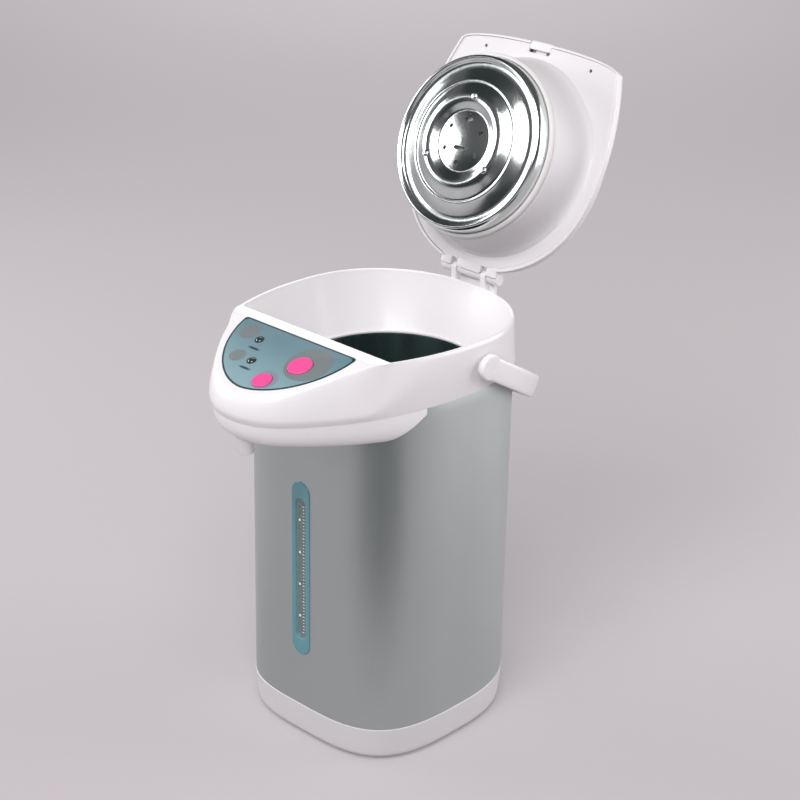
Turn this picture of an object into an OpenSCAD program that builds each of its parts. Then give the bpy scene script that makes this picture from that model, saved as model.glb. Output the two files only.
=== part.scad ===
// Electric thermo pot: a five litre insulated water boiler with an electric pump,
// an overhanging nose with a control panel, a deep hinged lid and a folding bail.
// Origin: centre of the swivel base on the table.  +Z up, front (nose) towards -Y.

/* [Body] */
// Half width of the rounded square steel body
body_half_w = 100; // [97:0.5:103]
// Half depth of the body, front to back
body_half_d = 108; // [105:0.5:112]
// Squareness of the two front corners (2 is round)
front_square = 3.35; // [2.2:0.05:3.6]
// Squareness of the two rear corners (2 is round)
rear_square = 2.38; // [2.1:0.02:2.8]
// Sheet thickness of the steel jacket
steel_t = 0.8; // [0.6:0.1:1.2]
// Height of the jacket's lower edge above the table
steel_bottom = 33.5; // [31:0.5:37]
// Height of the parting line where the white head starts
collar_z = 341; // [338:0.5:346]
// How far the jacket reaches up inside the head
tuck = 6; // [4:0.5:7]

/* [Base] */
// Height of the skirt's lower edge above the table
skirt_bottom = 4; // [3.6:0.1:5]
// Size of the skirt's lower edge against the body
skirt_draft = 0.98; // [0.97:0.002:0.99]
// Wall of the skirt moulding
skirt_wall = 2.6; // [2:0.1:3.2]
// How far the skirt stands proud of the jacket
skirt_lip = 0.7; // [0.5:0.1:1]
// Thickness of the bottom cover
cover_t = 2.4; // [2:0.1:3]
// Gap between the swivel base and the bottom cover
cover_gap = 0.6; // [0.5:0.1:0.9]

/* [Swivel base] */
// Radius of the swivel base
swivel_r = 84; // [78:0.5:88]
// Thickness of the swivel base
swivel_t = 3.2; // [2.8:0.1:3.6]
// Thickness of the rubber pads under it
pad_t = 1.4; // [1.2:0.1:1.8]
// Radius of the pivot stub
pivot_r = 10; // [8:0.5:12]
// Radial running clearance of the pivots and pins
run_gap = 0.05; // [0.03:0.01:0.08]

/* [Pot] */
// Inner radius of the water pot
pot_r = 81; // [79:0.5:81.5]
// Sheet thickness of the pot
pot_t = 0.8; // [0.6:0.1:1]
// Height of the pot's floor
pot_floor = 96; // [94:0.5:98]
// Drop of the pot's flange below the head's parting line
flange_drop = 10; // [8:0.5:12]
// Width of the pot's flange
flange_w = 6.5; // [5.5:0.5:8]
// Height of the silicone mouth ring
gasket_h = 2.8; // [2.4:0.1:3.4]
// Thickness of the ring that centres the pot in the jacket
ring_t = 4; // [3:0.5:6]
// Radius of the outlet in the pot's floor
drain_r = 6; // [5:0.5:7]
// Distance of that outlet in front of the middle
drain_back = 50; // [45:1:55]
// Thickness of the heater plate
heater_t = 4; // [3:0.5:5]
// Radius of the heater plate
heater_r = 66; // [60:1:70]
// Drop of the heat shield below the heater plate
shield_drop = 12; // [10:0.5:14]

/* [Pump] */
// Height of the pump's motor
motor_h = 22.4; // [20:0.2:24]
// Radius of the motor
motor_r = 14; // [12:0.5:16]
// Radius of the pump's volute
volute_r = 19; // [17:0.5:21]
// Height of the volute
volute_h = 16; // [14:0.5:18]
// Wall of the volute
volute_t = 2; // [1.5:0.1:2.5]
// Wall of the hoses
hose_wall = 2; // [1.5:0.1:2.5]

/* [Head] */
// Height of the rim above the parting line, at the middle of the pot
head_h = 47.2; // [45:0.2:50]
// Rise of the rim towards the front, per millimetre
rim_rise = 0.03; // [0.02:0.002:0.034]
// How far the rim flares beyond the jacket at the sides
rim_out = 5.4; // [5:0.2:6]
// How far the rim leans in from the jacket at the back
rim_in = 3; // [1:0.5:4]
// Width of the rounded crest of the rim, outside and inside its line
crest = 1.7; // [1.4:0.1:2.2]
// How far the head stands proud of the jacket at the parting line
head_lip = 1.5; // [1.2:0.1:2]
// Reach of the nose in front of the middle
nose_reach = 187; // [184:0.5:190]
// Radius of the nose's tip
nose_r = 56.3; // [52:0.1:60]
// How far the nose bulges beyond its parting line
nose_bulge = 3.8; // [3:0.2:5]
// Wall of the head moulding
head_wall = 2.4; // [2:0.1:2.8]
// Distance of the ridge in front of the pot's wall
ridge_gap = 11.5; // [11:0.25:13]
// Width of the level band between the ridge and the panel
band_w = 14.9; // [13:0.2:17]
// Drop of the chin cover below the parting line, at the body
chin_drop = 28.5; // [24:0.5:30]
// Rise of the chin's underside, per millimetre towards the nose
chin_rise = 0.075; // [0.04:0.005:0.09]
// Rounding of the chin's lower edge
chin_round = 10; // [8:0.5:12]
// Distance of the chin's back end in front of the middle
chin_back = 55; // [52:1:60]
// Outer radius of the spout
spout_r = 6.5; // [6:0.1:7.5]
// Distance of the spout behind the nose's tip
spout_back = 15; // [14:0.5:18]
// How far the spout hangs below the chin
spout_drop = 14.5; // [12:0.5:18]

/* [Control panel] */
// Downward slope of the panel, degrees
panel_slope = 18.5; // [16:0.5:20]
// Half width of the panel
panel_half_w = 66.3; // [60:0.1:68]
// Distance of the panel's front behind the nose's tip
panel_brow = 8.7; // [7:0.1:12]
// Width of the deck's border in front of the panel
deck_border = 3.3; // [2.5:0.1:5]
// Thickness of the panel overlay
overlay_t = 0.8; // [0.6:0.1:1.2]
// Radius of the dispense button
dispense_r = 11; // [9:0.5:12]
// Radius of the second button
reboil_r = 8.8; // [7:0.2:9.4]
// Travel of both buttons
key_travel = 0.6; // [0.4:0.1:0.7]
// Radius of the indicator lenses
lamp_r = 3.4; // [3:0.1:4]
// Depth of the circuit board below the panel
board_drop = 13; // [12:0.5:14]
// Thickness of the circuit boards
board_t = 1.6; // [1:0.2:2]

/* [Level window] */
// Width of the level window's frame
window_w = 22; // [20:0.5:24]
// Height of the window's lower end
window_low = 86; // [82:1:90]
// Height of the window's upper end
window_high = 257; // [250:1:262]
// Width of the slot that shows the gauge tube
slot_w = 10; // [9:0.5:11]
// Outer radius of the gauge tube
tube_r = 5; // [4.5:0.1:5.5]

/* [Lid] */
// Distance of the hinge axis inside the jacket's back
hinge_in = 1; // [0:0.25:2]
// Height of the hinge axis above the rim's back
hinge_up = 9.95; // [9:0.05:11]
// Angle to which the lid stands open
lid_open = 114; // [100:1:116]
// Gap between the steel liner and the pot's wall
liner_gap = 2; // [2:0.25:5]
// Distance of the liner's centre in front of the pot's
plug_shift = 1; // [0:0.25:1.5]
// Depth of the liner's face below the hinge axis
liner_depth = 64; // [60:0.5:64.5]
// Height of the liner's steel side
liner_side = 15; // [12:0.5:18]
// Height of the dome above the lid's edge
dome_h = 15; // [12:0.5:18]
// Wall of the lid mouldings
lid_wall = 2.2; // [1.8:0.1:2.6]
// Radius of the hinge pin
pin_r = 2; // [1.6:0.1:2.4]
// Width of the lid latch
latch_w = 24; // [20:1:28]
// Travel of the lid latch
latch_travel = 2.5; // [2:0.1:3]

/* [Handle] */
// Position of the handle pivots behind the middle
bail_y = 7.5; // [6:0.5:9]
// Height of the handle pivots above the parting line
bail_up = 23; // [22:0.5:25]
// Angle below level at which the handle rests
bail_rest = 30.5; // [28:0.5:33]
// Gap between the resting grip and the jacket
bail_gap = 2.5; // [2:0.5:6]
// Thickness of the grip
grip_t = 12; // [10:0.5:14]
// Thickness of the handle's arms
arm_t = 6; // [5:0.5:7]
// Width of the handle's arms
arm_w = 20.5; // [18:0.5:22]
// Radius of the handle pivot studs
stud_r = 4; // [3.5:0.25:5]

/* [Power inlet] */
// Width of the inlet
inlet_w = 44; // [40:1:48]
// Height of the inlet's frame
inlet_h = 26; // [24:1:30]
// Depth of the inlet's box
inlet_depth = 22; // [18:1:26]
// Height of the inlet's middle above the table
inlet_z = 62; // [58:1:66]

/* [Hidden] */
$fn = 96;
eps = 0.01;
// Points along each side of a head or lid outline
half_n = 36;
// Gap between neighbouring faces on one body that only meet loosely
fit = 0.2;
white = "whitesmoke";
steel = "silver";
teal = "#7ba1ab";
pink = "#ff5fae";
dark = "#33383a";

// Main derived levels and places
flange_z = collar_z - flange_drop;
rim_z = collar_z + head_h;
rim_half_w = body_half_w + head_lip + rim_out;
rim_rear = body_half_d - rim_in;
ridge_y = -pot_r - ridge_gap;
panel_y = ridge_y - band_w;
panel_z = rim_z - rim_rise * panel_y;
panel_len = (nose_reach - panel_brow + panel_y) / cos(panel_slope);
hinge_y = body_half_d - hinge_in;
hinge_z = rim_z - rim_rise * rim_rear + hinge_up;
liner_r = pot_r - liner_gap;
liner_back = hinge_y + plug_shift;
bail_z = collar_z + bail_up;
bail_len = (body_half_d + bail_gap + arm_w / 2 * sin(bail_rest) - bail_y) / cos(bail_rest);

// ---- Outlines -------------------------------------------------------------------------------
// Half width of a body-like outline at depth y, grown by g
function oval_w(y, g, hw = body_half_w, hd = body_half_d, nf = front_square, nr = rear_square) =
    let (n = y < 0 ? nf : nr, t = min(1, abs(y) / (hd + g)))
    (hw + g) * pow(max(0, 1 - pow(t, n)), 1 / n);
function body_points(g = 0, k = 1) = let (m = 2 * half_n) [for (i = [0 : 2 * m - 1])
    let (a = 180 * i / m, y = -(body_half_d + g) * sign(cos(a)) * pow(abs(cos(a)), 0.8))
    [(i < m ? 1 : -1) * k * oval_w(y, g), k * y]];
// The nose is a small circle that runs on tangentially into two long side arcs
side_y = -10;
nose_t = side_y + nose_reach;
head_side = body_half_w + head_lip;
nose_side_r = (pow(head_side, 2) + pow(nose_t - nose_r, 2) - pow(nose_r, 2)) / (2 * (head_side - nose_r));
side_x = nose_side_r - head_side;
nose_y = -nose_reach + nose_r;
nose_tan = side_y + (nose_y - side_y) * nose_side_r / (nose_side_r - nose_r);
// Half width of the nose outline, grown by o
function nose_w(y, o) = let (yt = nose_y + (nose_tan - nose_y) * (nose_r + o) / nose_r)
    y < yt ? sqrt(max(0, pow(nose_r + o, 2) - pow(y - nose_y, 2)))
    : -side_x + sqrt(pow(nose_side_r + o, 2) - pow(y - side_y, 2));
// Head outline at the parting line, grown by o, and at the rim
rim_flare = rim_out;
function low_w(y, o = 0) = y < side_y ? nose_w(y, o) : y < 0 ? head_side + o : oval_w(y, head_lip + o);
function rim_w(y, o = 0) = y < side_y ? nose_w(y, rim_flare + o)
    : oval_w(max(y, 0), o, rim_half_w, rim_rear, 2, 2.15);
function rim_at(y) = rim_z - rim_rise * y;
function panel_at(y) = panel_z + (y - panel_y) * tan(panel_slope);
function smooth(t) = let (u = min(1, max(0, t))) u * u * (3 - 2 * u);
// Border of the deck round the panel, then the crest of the rim
deck_half_w = panel_half_w + 9.7;
deck_tip = panel_y - panel_len * cos(panel_slope) - deck_border;
function deck_w(y) = let (t = min(1, (panel_y - y) / (panel_y - deck_tip)))
    deck_half_w * pow(max(0, 1 - pow(t, 1.6)), 1 / 1.6);
function top_w(y, g = 0) = (y < panel_y ? deck_w(y)
    : deck_half_w + (rim_w(ridge_y, -crest) - deck_half_w) * smooth((y - panel_y) / (ridge_y - panel_y))
      + (y > ridge_y ? rim_w(y, -crest) - rim_w(ridge_y, -crest) : 0)) - g;
function top_z(y) = y < panel_y ? panel_at(y) : y > ridge_y ? rim_at(y)
    : panel_z + (rim_at(ridge_y) - panel_z) * smooth((y - panel_y) / (ridge_y - panel_y));
function ease(i, a, b) = a + (b - a) * (1 - cos(180 * i / half_n)) / 2;
// 0 at the nose, 1 at the rim: how far the side wall has turned into the rim's wall
function rimness(y) = smooth((y + 115) / 60);
// A closed ring from half widths hw[i] at depths ys[i] and heights zs[i]
function ring(hw, ys, zs) = concat([for (i = [0 : half_n]) [hw[i], ys[i], zs[i]]],
    [for (i = [half_n - 1 : -1 : 1]) [-hw[i], ys[i], zs[i]]]);

// A solid through rings of equal length; its ends are closed by strips across the rings
module skin(rings) {
    n = 2 * half_n;
    m = len(rings);
    function strip(k, up) = [for (i = [0 : half_n - 1]) let (a = k * n + i, b = a + 1,
        c = k * n + (n - i - 1) % n, d = k * n + (n - i) % n)
        each (up ? [[a, c, b], [a, d, c]] : [[a, b, c], [a, c, d]])];
    function clean(f) = [for (t = f) if (t[0] != t[1] && t[1] != t[2] && t[0] != t[2]) t];
    polyhedron(points = [for (r = rings) each r], faces = clean(concat(strip(0, true),
        [for (k = [0 : m - 2], i = [0 : n - 1]) let (a = k * n + i, b = k * n + (i + 1) % n)
            each [[a, b + n, b], [a, a + n, b + n]]], strip(m - 1, false))), convexity = 6);
}

// Rings of the head's outside (g = 0) or of its cavity (g = wall)
function low_front(o) = -nose_reach - o;
function low_rear(o) = body_half_d + head_lip + o;
function head_low(g, z, o) = let (a = low_front(o - g), b = low_rear(min(o, 0) - g),
    ys = [for (i = [0 : half_n]) ease(i, a, b)])
    ring([for (y = ys) max(0, low_w(y, o * (1 - rimness(y)) - g))], ys, [for (y = ys) z]);
function head_wide(g) = let (a = -nose_reach - nose_bulge + g, b = rim_rear - g,
    ys = [for (i = [0 : half_n]) ease(i, a, b)])
    ring([for (y = ys) max(0, let (r = rimness(y)) (1 - r) * low_w(y, nose_bulge - g) + r * rim_w(y, -g))],
        ys, [for (y = ys) let (r = rimness(y)) (1 - r) * (collar_z + 8) + r * (rim_at(y) - 4 - g)]);
function head_top(g) = let (a = deck_tip + g, b = rim_rear - crest - g,
    ys = [for (i = [0 : half_n]) ease(i, a, b)])
    ring([for (i = [0 : half_n]) i == 0 || i == half_n ? 0 : max(0, top_w(ys[i], g))], ys,
        [for (y = ys) top_z(y) - g]);
function blend(p, q, h, v) = [for (i = [0 : len(p) - 1])
    [p[i].x + (q[i].x - p[i].x) * h, p[i].y + (q[i].y - p[i].y) * h, p[i].z + (q[i].z - p[i].z) * v]];
function head_rings(g, z0, steps) = let (low = head_low(g, z0, 0), wide = head_wide(g),
    top = head_top(g)) concat([low, blend(low, wide, 0.6, 0.45)],
        [for (k = [0 : steps]) let (a = 90 * k / steps) blend(wide, top, 1 - cos(a), sin(a))]);

// The mouth: straight across at the ridge above, a circle at the pot below
mouth_r = pot_r + 2;
mouth_z = flange_z + pot_t + gasket_h;
mouth_top = 0.8 * crest;
function mouth_low(g, z) = let (ys = [for (i = [0 : half_n]) ease(i, -mouth_r - g, mouth_r + g)])
    ring([for (i = [0 : half_n]) (mouth_r + g) * sin(180 * i / half_n)], ys, [for (y = ys) z]);
function mouth_high(g, dz) = let (back = rim_rear - crest - mouth_top + g,
    ys = [for (i = [0 : half_n]) ease(i, ridge_y - g, back)])
    ring([for (y = ys) rim_w(max(y, ridge_y), g - crest - mouth_top) * (y > ys[half_n] - eps ? 0 : 1)],
        ys, [for (y = ys) rim_at(y) + dz]);
module mouth(g, up) {
    low = mouth_low(g, mouth_z - (g > 0 ? 0 : eps));
    high = mouth_high(g, up);
    below = [for (p = low) [p.x, p.y, p.z - (g > 0 ? 0 : 20)]];
    skin(g > 0 ? [low, blend(low, high, 0.55, 0.5), high] : [below, low, blend(low, high, 0.55, 0.5), high]);
}

// ---- Frames ---------------------------------------------------------------------------------
// The panel's plane: x across, y up the slope from the straight edge, z out of the panel
module on_panel() { translate([0, panel_y, panel_z]) rotate([panel_slope, 0, 0]) children(); }
// The lid is drawn closed and swung open here
module on_lid() {
    translate([0, hinge_y, hinge_z]) rotate([-lid_open, 0, 0]) translate([0, -hinge_y, -hinge_z]) children();
}
// A revolved lid part: its profile is [radius, depth below the hinge axis]
module lid_turn(profile) {
    translate([0, hinge_y - liner_back, hinge_z]) mirror([0, 0, 1]) rotate_extrude() polygon(profile);
}
module at_x(x0, x1, r) { translate([x0, 0, 0]) rotate([0, 90, 0]) cylinder(h = x1 - x0, r = r); }

// ---- Body and base --------------------------------------------------------------------------
module slot_shape(w, low, high) {
    translate([-w / 2, low + w / 2]) square([w, high - low - w]);
    for (z = [low + w / 2, high - w / 2]) translate([0, z]) circle(d = w);
}
// A stadium standing in the XZ plane, from depth y0 forward to y1
module stadium(w, low, high, y0, y1) {
    translate([0, y0, 0]) rotate([90, 0, 0]) linear_extrude(y0 - y1) slot_shape(w, low, high);
}
// Step inwards of the jacket's neck, which the head sits over
neck = 1.4;
module outer_body() {
    color(steel) difference() {
        union() {
            translate([0, 0, steel_bottom]) linear_extrude(collar_z - steel_bottom) difference() {
                polygon(body_points());
                polygon(body_points(-steel_t));
            }
            translate([0, 0, collar_z - steel_t]) linear_extrude(steel_t) difference() {
                polygon(body_points());
                polygon(body_points(-neck - steel_t));
            }
            translate([0, 0, collar_z - steel_t]) linear_extrude(steel_t + tuck) difference() {
                polygon(body_points(-neck));
                polygon(body_points(-neck - steel_t));
            }
        }
        stadium(window_w + fit, window_low - fit / 2, window_high + fit / 2, -60, -body_half_d - 1);
        translate([-inlet_w / 2 - fit / 2, 60, inlet_z - inlet_h / 2 - fit / 2])
            cube([inlet_w + fit, 60, inlet_h + fit]);
    }
}
function skirt_ring(g, k, z) = [for (p = body_points(g, k)) [p.x, p.y, z]];
module tube_skin(rings) {
    n = len(rings[0]);
    m = len(rings);
    polyhedron(points = [for (r = rings) each r], faces = concat([[for (i = [0 : n - 1]) i]],
        [for (k = [0 : m - 2], i = [0 : n - 1]) let (a = k * n + i, b = k * n + (i + 1) % n)
            each [[a, b + n, b], [a, a + n, b + n]]],
        [[for (i = [n - 1 : -1 : 0]) (m - 1) * n + i]]), convexity = 4);
}
cover_z = pad_t + swivel_t + cover_gap;
spigot_h = 7;
module base_skirt() {
    color(white) {
        difference() {
            tube_skin([skirt_ring(0, skirt_draft, skirt_bottom), skirt_ring(skirt_lip, 1, steel_bottom)]);
            tube_skin([skirt_ring(-skirt_wall, skirt_draft, skirt_bottom - 1),
                skirt_ring(-skirt_wall, 1, steel_bottom + 1)]);
        }
        // Spigot that enters the jacket
        translate([0, 0, steel_bottom - 6]) linear_extrude(6 + spigot_h) difference() {
            polygon(body_points(-steel_t - fit));
            polygon(body_points(-steel_t - fit - 2));
        }
    }
}
post_r = 5;
post_x = 0.62 * body_half_w;
post_y = 0.54 * body_half_d;
module at_posts() { for (x = [-post_x, post_x], y = [-post_y, post_y]) translate([x, y, 0]) children(); }
screw_r = 2;
module bottom_cover() {
    top = cover_z + cover_t;
    color(white) difference() {
        union() {
            translate([0, 0, cover_z]) linear_extrude(cover_t)
                polygon(body_points(-skirt_wall - 0.4, skirt_draft));
            translate([0, 0, cover_z]) cylinder(h = 8, r = pivot_r + 5);
            at_posts() translate([0, 0, cover_z]) cylinder(h = shield_z - cover_z, r = post_r);
        }
        translate([0, 0, cover_z - 1]) cylinder(h = 12, r = pivot_r + run_gap);
        at_posts() translate([0, 0, cover_z - 1]) cylinder(h = 14, r = screw_r);
        at_posts() translate([0, 0, cover_z - 1]) cylinder(h = 2.2, r = 4.2);
        // Cooling slots
        for (i = [-5 : 5]) translate([8 * i - 1.5, -48, cover_z - 1]) cube([3, 22, cover_t + 2]);
    }
}
module bottom_screws() {
    color(steel) at_posts() {
        translate([0, 0, cover_z + 1.2 - 1.1]) cylinder(h = 1.1, r = 3.9);
        translate([0, 0, cover_z + 1.1]) cylinder(h = 11, r = screw_r);
    }
}
module swivel_base() {
    color(white) {
        translate([0, 0, pad_t]) difference() {
            cylinder(h = swivel_t, r = swivel_r);
            for (a = [0 : 45 : 315]) rotate(a) translate([swivel_r * 0.45, -5, -1])
                cube([swivel_r * 0.3, 10, swivel_t + 2]);
        }
        translate([0, 0, pad_t]) difference() {
            cylinder(h = cover_z + 8 - pad_t + 1, r = pivot_r);
            translate([0, 0, swivel_t]) cylinder(h = 30, r = 2);
        }
    }
}
pad_n = 6;
module swivel_pads() {
    color(dark) {
        cylinder(h = pad_t, r = 13);
        for (i = [0 : pad_n - 1]) rotate(360 * i / pad_n) translate([swivel_r - 9, 0, 0])
            cylinder(h = pad_t, r = 7);
    }
}
module swivel_clip() {
    z = cover_z + 8 + 1;
    color(steel) {
        translate([0, 0, z]) cylinder(h = 1.2, r = pivot_r + 4);
        translate([0, 0, z + 1.2]) cylinder(h = 2, r = 4);
        translate([0, 0, z - 5]) cylinder(h = 5 + eps, r = 1.9);
    }
}

// ---- Pot and heater -------------------------------------------------------------------------
pot_round = 12;
drain_y = -drain_back;
module inner_pot() {
    // Outside line, then the inside line back up
    function corner(a, r) = [pot_r - pot_round + r * cos(a), pot_floor + pot_round - r * sin(a)];
    arc = [for (a = [0 : 10 : 90]) corner(a, pot_round)];
    arc2 = [for (a = [90 : -10 : 0]) corner(a, pot_round + pot_t)];
    color(steel) difference() {
        union() {
            rotate_extrude() polygon(concat([[pot_r, flange_z + pot_t]], arc, [[0, pot_floor]],
                [[0, pot_floor - pot_t]], arc2, [[pot_r + pot_t, flange_z], [pot_r + flange_w, flange_z],
                [pot_r + flange_w, flange_z + pot_t]]));
            translate([0, drain_y, pot_floor - 9]) cylinder(h = 9 - pot_t / 2, r = drain_r);
        }
        translate([0, drain_y, pot_floor - 10]) cylinder(h = 12, r = drain_r - 1.2);
    }
}
module pot_ring() {
    color(white) translate([0, 0, flange_z - ring_t]) linear_extrude(ring_t) difference() {
        polygon(body_points(-steel_t - fit));
        circle(r = pot_r + pot_t + 0.3);
        translate([0, tube_y]) circle(r = pipe_r + fit);
    }
}
module pot_gasket() {
    color("ivory") translate([0, 0, flange_z + pot_t]) difference() {
        cylinder(h = gasket_h, r = mouth_r + 2.4);
        translate([0, 0, -1]) cylinder(h = gasket_h + 2, r = pot_r + 0.4);
    }
}
heater_z = pot_floor - pot_t - heater_t;
module heater_plate() {
    color("darkgray") difference() {
        union() {
            translate([0, 0, heater_z]) cylinder(h = heater_t, r = heater_r);
            // Cast-in tubular element, an open ring with two terminals
            translate([0, 0, heater_z]) rotate(100) rotate_extrude(angle = 340)
                translate([heater_r - 14, 0]) circle(r = 4);
        }
        translate([0, drain_y, heater_z - 5]) cylinder(h = 20, r = drain_r + hose_wall + 0.5);
        translate([-12, drain_y - 30, heater_z - 5]) cube([24, 30, 20]);
    }
}
module thermostats() {
    for (p = [[-18, 12], [18, 12], [0, -12]]) translate([p.x, p.y, heater_z - 7]) {
        color("ivory") cylinder(h = 7, r = 7.5);
        color(steel) for (s = [-1, 1]) translate([s * 9 - 3, -2.5, 1]) cube([6, 5, 0.8]);
    }
}
shield_z = heater_z - shield_drop;
module heat_shield() {
    color(steel) difference() {
        union() {
            translate([0, 0, shield_z]) cylinder(h = 1, r = pot_r + 3);
            translate([0, 0, shield_z]) difference() {
                cylinder(h = heater_z - shield_z, r = 34);
                translate([0, 0, -1]) cylinder(h = heater_z, r = 33);
            }
        }
        translate([0, drain_y, shield_z - 1]) cylinder(h = 4, r = drain_r + 3);
        translate([0, -pot_r - 16, shield_z - 1]) cylinder(h = 4, r = 20);
        for (a = [30 : 60 : 330]) rotate(a) translate([26, -6, shield_z + 3]) cube([12, 12, heater_z]);
    }
}

// ---- Pump and water path --------------------------------------------------------------------
pump_z = cover_z + cover_t + motor_h + 4;
pump_y = drain_y;
port_z = pump_z + volute_h / 2;
port_x = volute_r - 5;
nozzle_r = 5;
tube_y = -body_half_d + tube_r + 5.5;
tube_low = window_low - 15;
pipe_r = tube_r + 1;
module pump_housing() {
    color("ivory") difference() {
        union() {
            translate([0, pump_y, pump_z]) cylinder(h = volute_h, r = volute_r);
            translate([0, pump_y, pump_z + volute_h]) cylinder(h = 12, r = drain_r);
            translate([port_x, pump_y, port_z]) rotate([90, 0, 0]) cylinder(h = volute_r + 8, r = nozzle_r);
        }
        translate([0, pump_y, pump_z + volute_t]) 
            cylinder(h = volute_h - 2 * volute_t, r = volute_r - volute_t);
        translate([0, pump_y, pump_z + 4]) cylinder(h = volute_h + 12, r = drain_r - 1.5);
        translate([0, pump_y, pump_z - 1]) cylinder(h = 6, r = 1.5 + run_gap);
        translate([port_x, pump_y, port_z]) rotate([90, 0, 0]) cylinder(h = volute_r + 10, r = 3.6);
    }
}
module pump_impeller() {
    color("dimgray") translate([0, pump_y, pump_z]) {
        translate([0, 0, -4]) cylinder(h = 13, r = 1.5);
        translate([0, 0, volute_t + 0.6]) cylinder(h = 1.6, r = volute_r - volute_t - 3);
        translate([0, 0, volute_t + 0.6]) cylinder(h = volute_h / 2, r = 3.4);
        for (a = [0 : 60 : 300]) rotate(a) translate([3, -0.8, volute_t + 2])
            cube([volute_r - volute_t - 6.4, 1.6, volute_h / 2 - 1]);
    }
}
module pump_motor() {
    color("gray") translate([0, pump_y, cover_z + cover_t]) difference() {
        union() {
            cylinder(h = motor_h + 4, r = 8);
            translate([0, 0, 3]) cylinder(h = motor_h - 3, r = motor_r);
            cylinder(h = 3, r = motor_r + 3);
        }
        translate([0, 0, motor_h - 1]) cylinder(h = 10, r = 1.5 + run_gap);
    }
}
// A bent hose: round tube pieces joined by ball elbows along a path
module hose(path, r) {
    for (i = [0 : len(path) - 2]) {
        d = path[i + 1] - path[i];
        translate(path[i]) rotate([0, acos(d.z / norm(d)), atan2(d.y, d.x)]) cylinder(h = norm(d), r = r);
    }
    for (i = [1 : len(path) - 2]) translate(path[i]) sphere(r = r);
}
module inlet_hose() {
    low = pump_z + volute_h + 0.5;
    color("linen") difference() {
        translate([0, drain_y, low]) cylinder(h = pot_floor - low - 2.5, r = drain_r + hose_wall);
        translate([0, drain_y, pump_z]) cylinder(h = pot_floor, r = drain_r + fit / 2);
    }
}
module outlet_hose() {
    end_y = pump_y - volute_r - 1;
    path = [[port_x, end_y, port_z], [port_x, tube_y, port_z], [0, tube_y, port_z + 20],
        [0, tube_y, tube_low + 10]];
    color("linen") difference() {
        hose(path, tube_r + hose_wall);
        translate([port_x, pump_y, port_z]) rotate([90, 0, 0])
            cylinder(h = volute_r + 8.2, r = nozzle_r + fit / 2);
        translate([0, tube_y, tube_low - fit]) cylinder(h = 20, r = tube_r + fit / 2);
        hose(path, 3.2);
    }
}
tube_high = flange_z - 8;
module level_tube() {
    color([0.85, 0.95, 1, 0.5]) translate([0, tube_y, tube_low]) difference() {
        cylinder(h = tube_high - tube_low, r = tube_r);
        translate([0, 0, -1]) cylinder(h = tube_high - tube_low + 2, r = tube_r - 1.5);
    }
}
frame_back = 4;
lens_t = 1.2;
module level_frame() {
    // A shallow crowned frame that fills the jacket's window, with the gauge slot
    color("#5f9ea5") difference() {
        union() {
            stadium(window_w, window_low, window_high, -body_half_d + frame_back, -body_half_d - 0.8);
            stadium(window_w + 6, window_low - 3, window_high + 3, -body_half_d + frame_back,
                -body_half_d + steel_t + fit);
        }
        stadium(slot_w, window_low + 17, window_high - 17, 0, -body_half_d - 5);
        translate([0, -body_half_d - 0.8, 0]) rotate([90, 0, 0]) translate([0, 0, -1.4]) linear_extrude(4)
            slot_shape(slot_w + 1.6, window_low + 16.2, window_high - 16.2);
        translate([0, tube_y, 0]) cylinder(h = 400, r = tube_r + 0.2);
    }
}
module level_lens() {
    color([0.6, 0.75, 0.75, 0.6]) translate([0, -body_half_d - 0.8 + 1.4, 0]) rotate([90, 0, 0])
        linear_extrude(lens_t) slot_shape(slot_w + 1.4, window_low + 16.3, window_high - 16.3);
}
spout_y = -nose_reach + spout_back;
spout_tip = chin_z(spout_y) - spout_drop;
riser_z = collar_z + tuck + pipe_r + 0.5;
riser_end = riser_z - 12;
module riser_pipe() {
    path = [[0, tube_y, tube_high - 10], [0, tube_y, riser_z], [0, spout_y, riser_z],
        [0, spout_y, riser_end]];
    color("ivory") difference() {
        hose(path, pipe_r);
        hose(path, pipe_r - 2);
        translate([0, tube_y, tube_high - 20]) cylinder(h = 20 + fit, r = tube_r + fit / 2);
    }
}
module spout() {
    top = riser_z - pipe_r - 1;
    color(white) translate([0, spout_y, 0]) difference() {
        union() {
            translate([0, 0, spout_tip]) cylinder(h = top - spout_tip, r = spout_r + 1.3);
            translate([0, 0, riser_end - 2]) cylinder(h = top - riser_end + 2, r = pipe_r + 2.4);
        }
        translate([0, 0, spout_tip - 1]) cylinder(h = 60, r = spout_r - 2);
        translate([0, 0, riser_end - fit]) cylinder(h = 20, r = pipe_r + fit / 2);
    }
}

// ---- Head -----------------------------------------------------------------------------------
ear_in = 14.5;
ear_out = 20.5;
ear_r = 6;
bail_x = rim_half_w + 0.8;
stud_in = rim_half_w - 8.6;
module hinge_ears() {
    low = rim_at(rim_rear) - 12;
    for (s = [-1, 1]) difference() {
        union() {
            translate([0, hinge_y, hinge_z]) scale([s, 1, 1]) at_x(ear_in, ear_out, ear_r);
            translate([s > 0 ? ear_in : -ear_out, hinge_y - ear_r, low])
                cube([ear_out - ear_in, 2 * ear_r - 1, hinge_z - low]);
        }
        translate([0, hinge_y, hinge_z]) at_x(-40, 40, pin_r);
    }
}
module panel_shape(g = 0) {
    n = 40;
    hw = panel_half_w + g;
    offset(r = 4) offset(delta = -4) polygon([for (i = [0 : n]) let (a = 180 * i / n)
        [hw * pow(abs(cos(a)), 2 / 1.8) * sign(cos(a)), g - (panel_len + 2 * g) * pow(sin(a), 2 / 1.8)]]);
}
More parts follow.
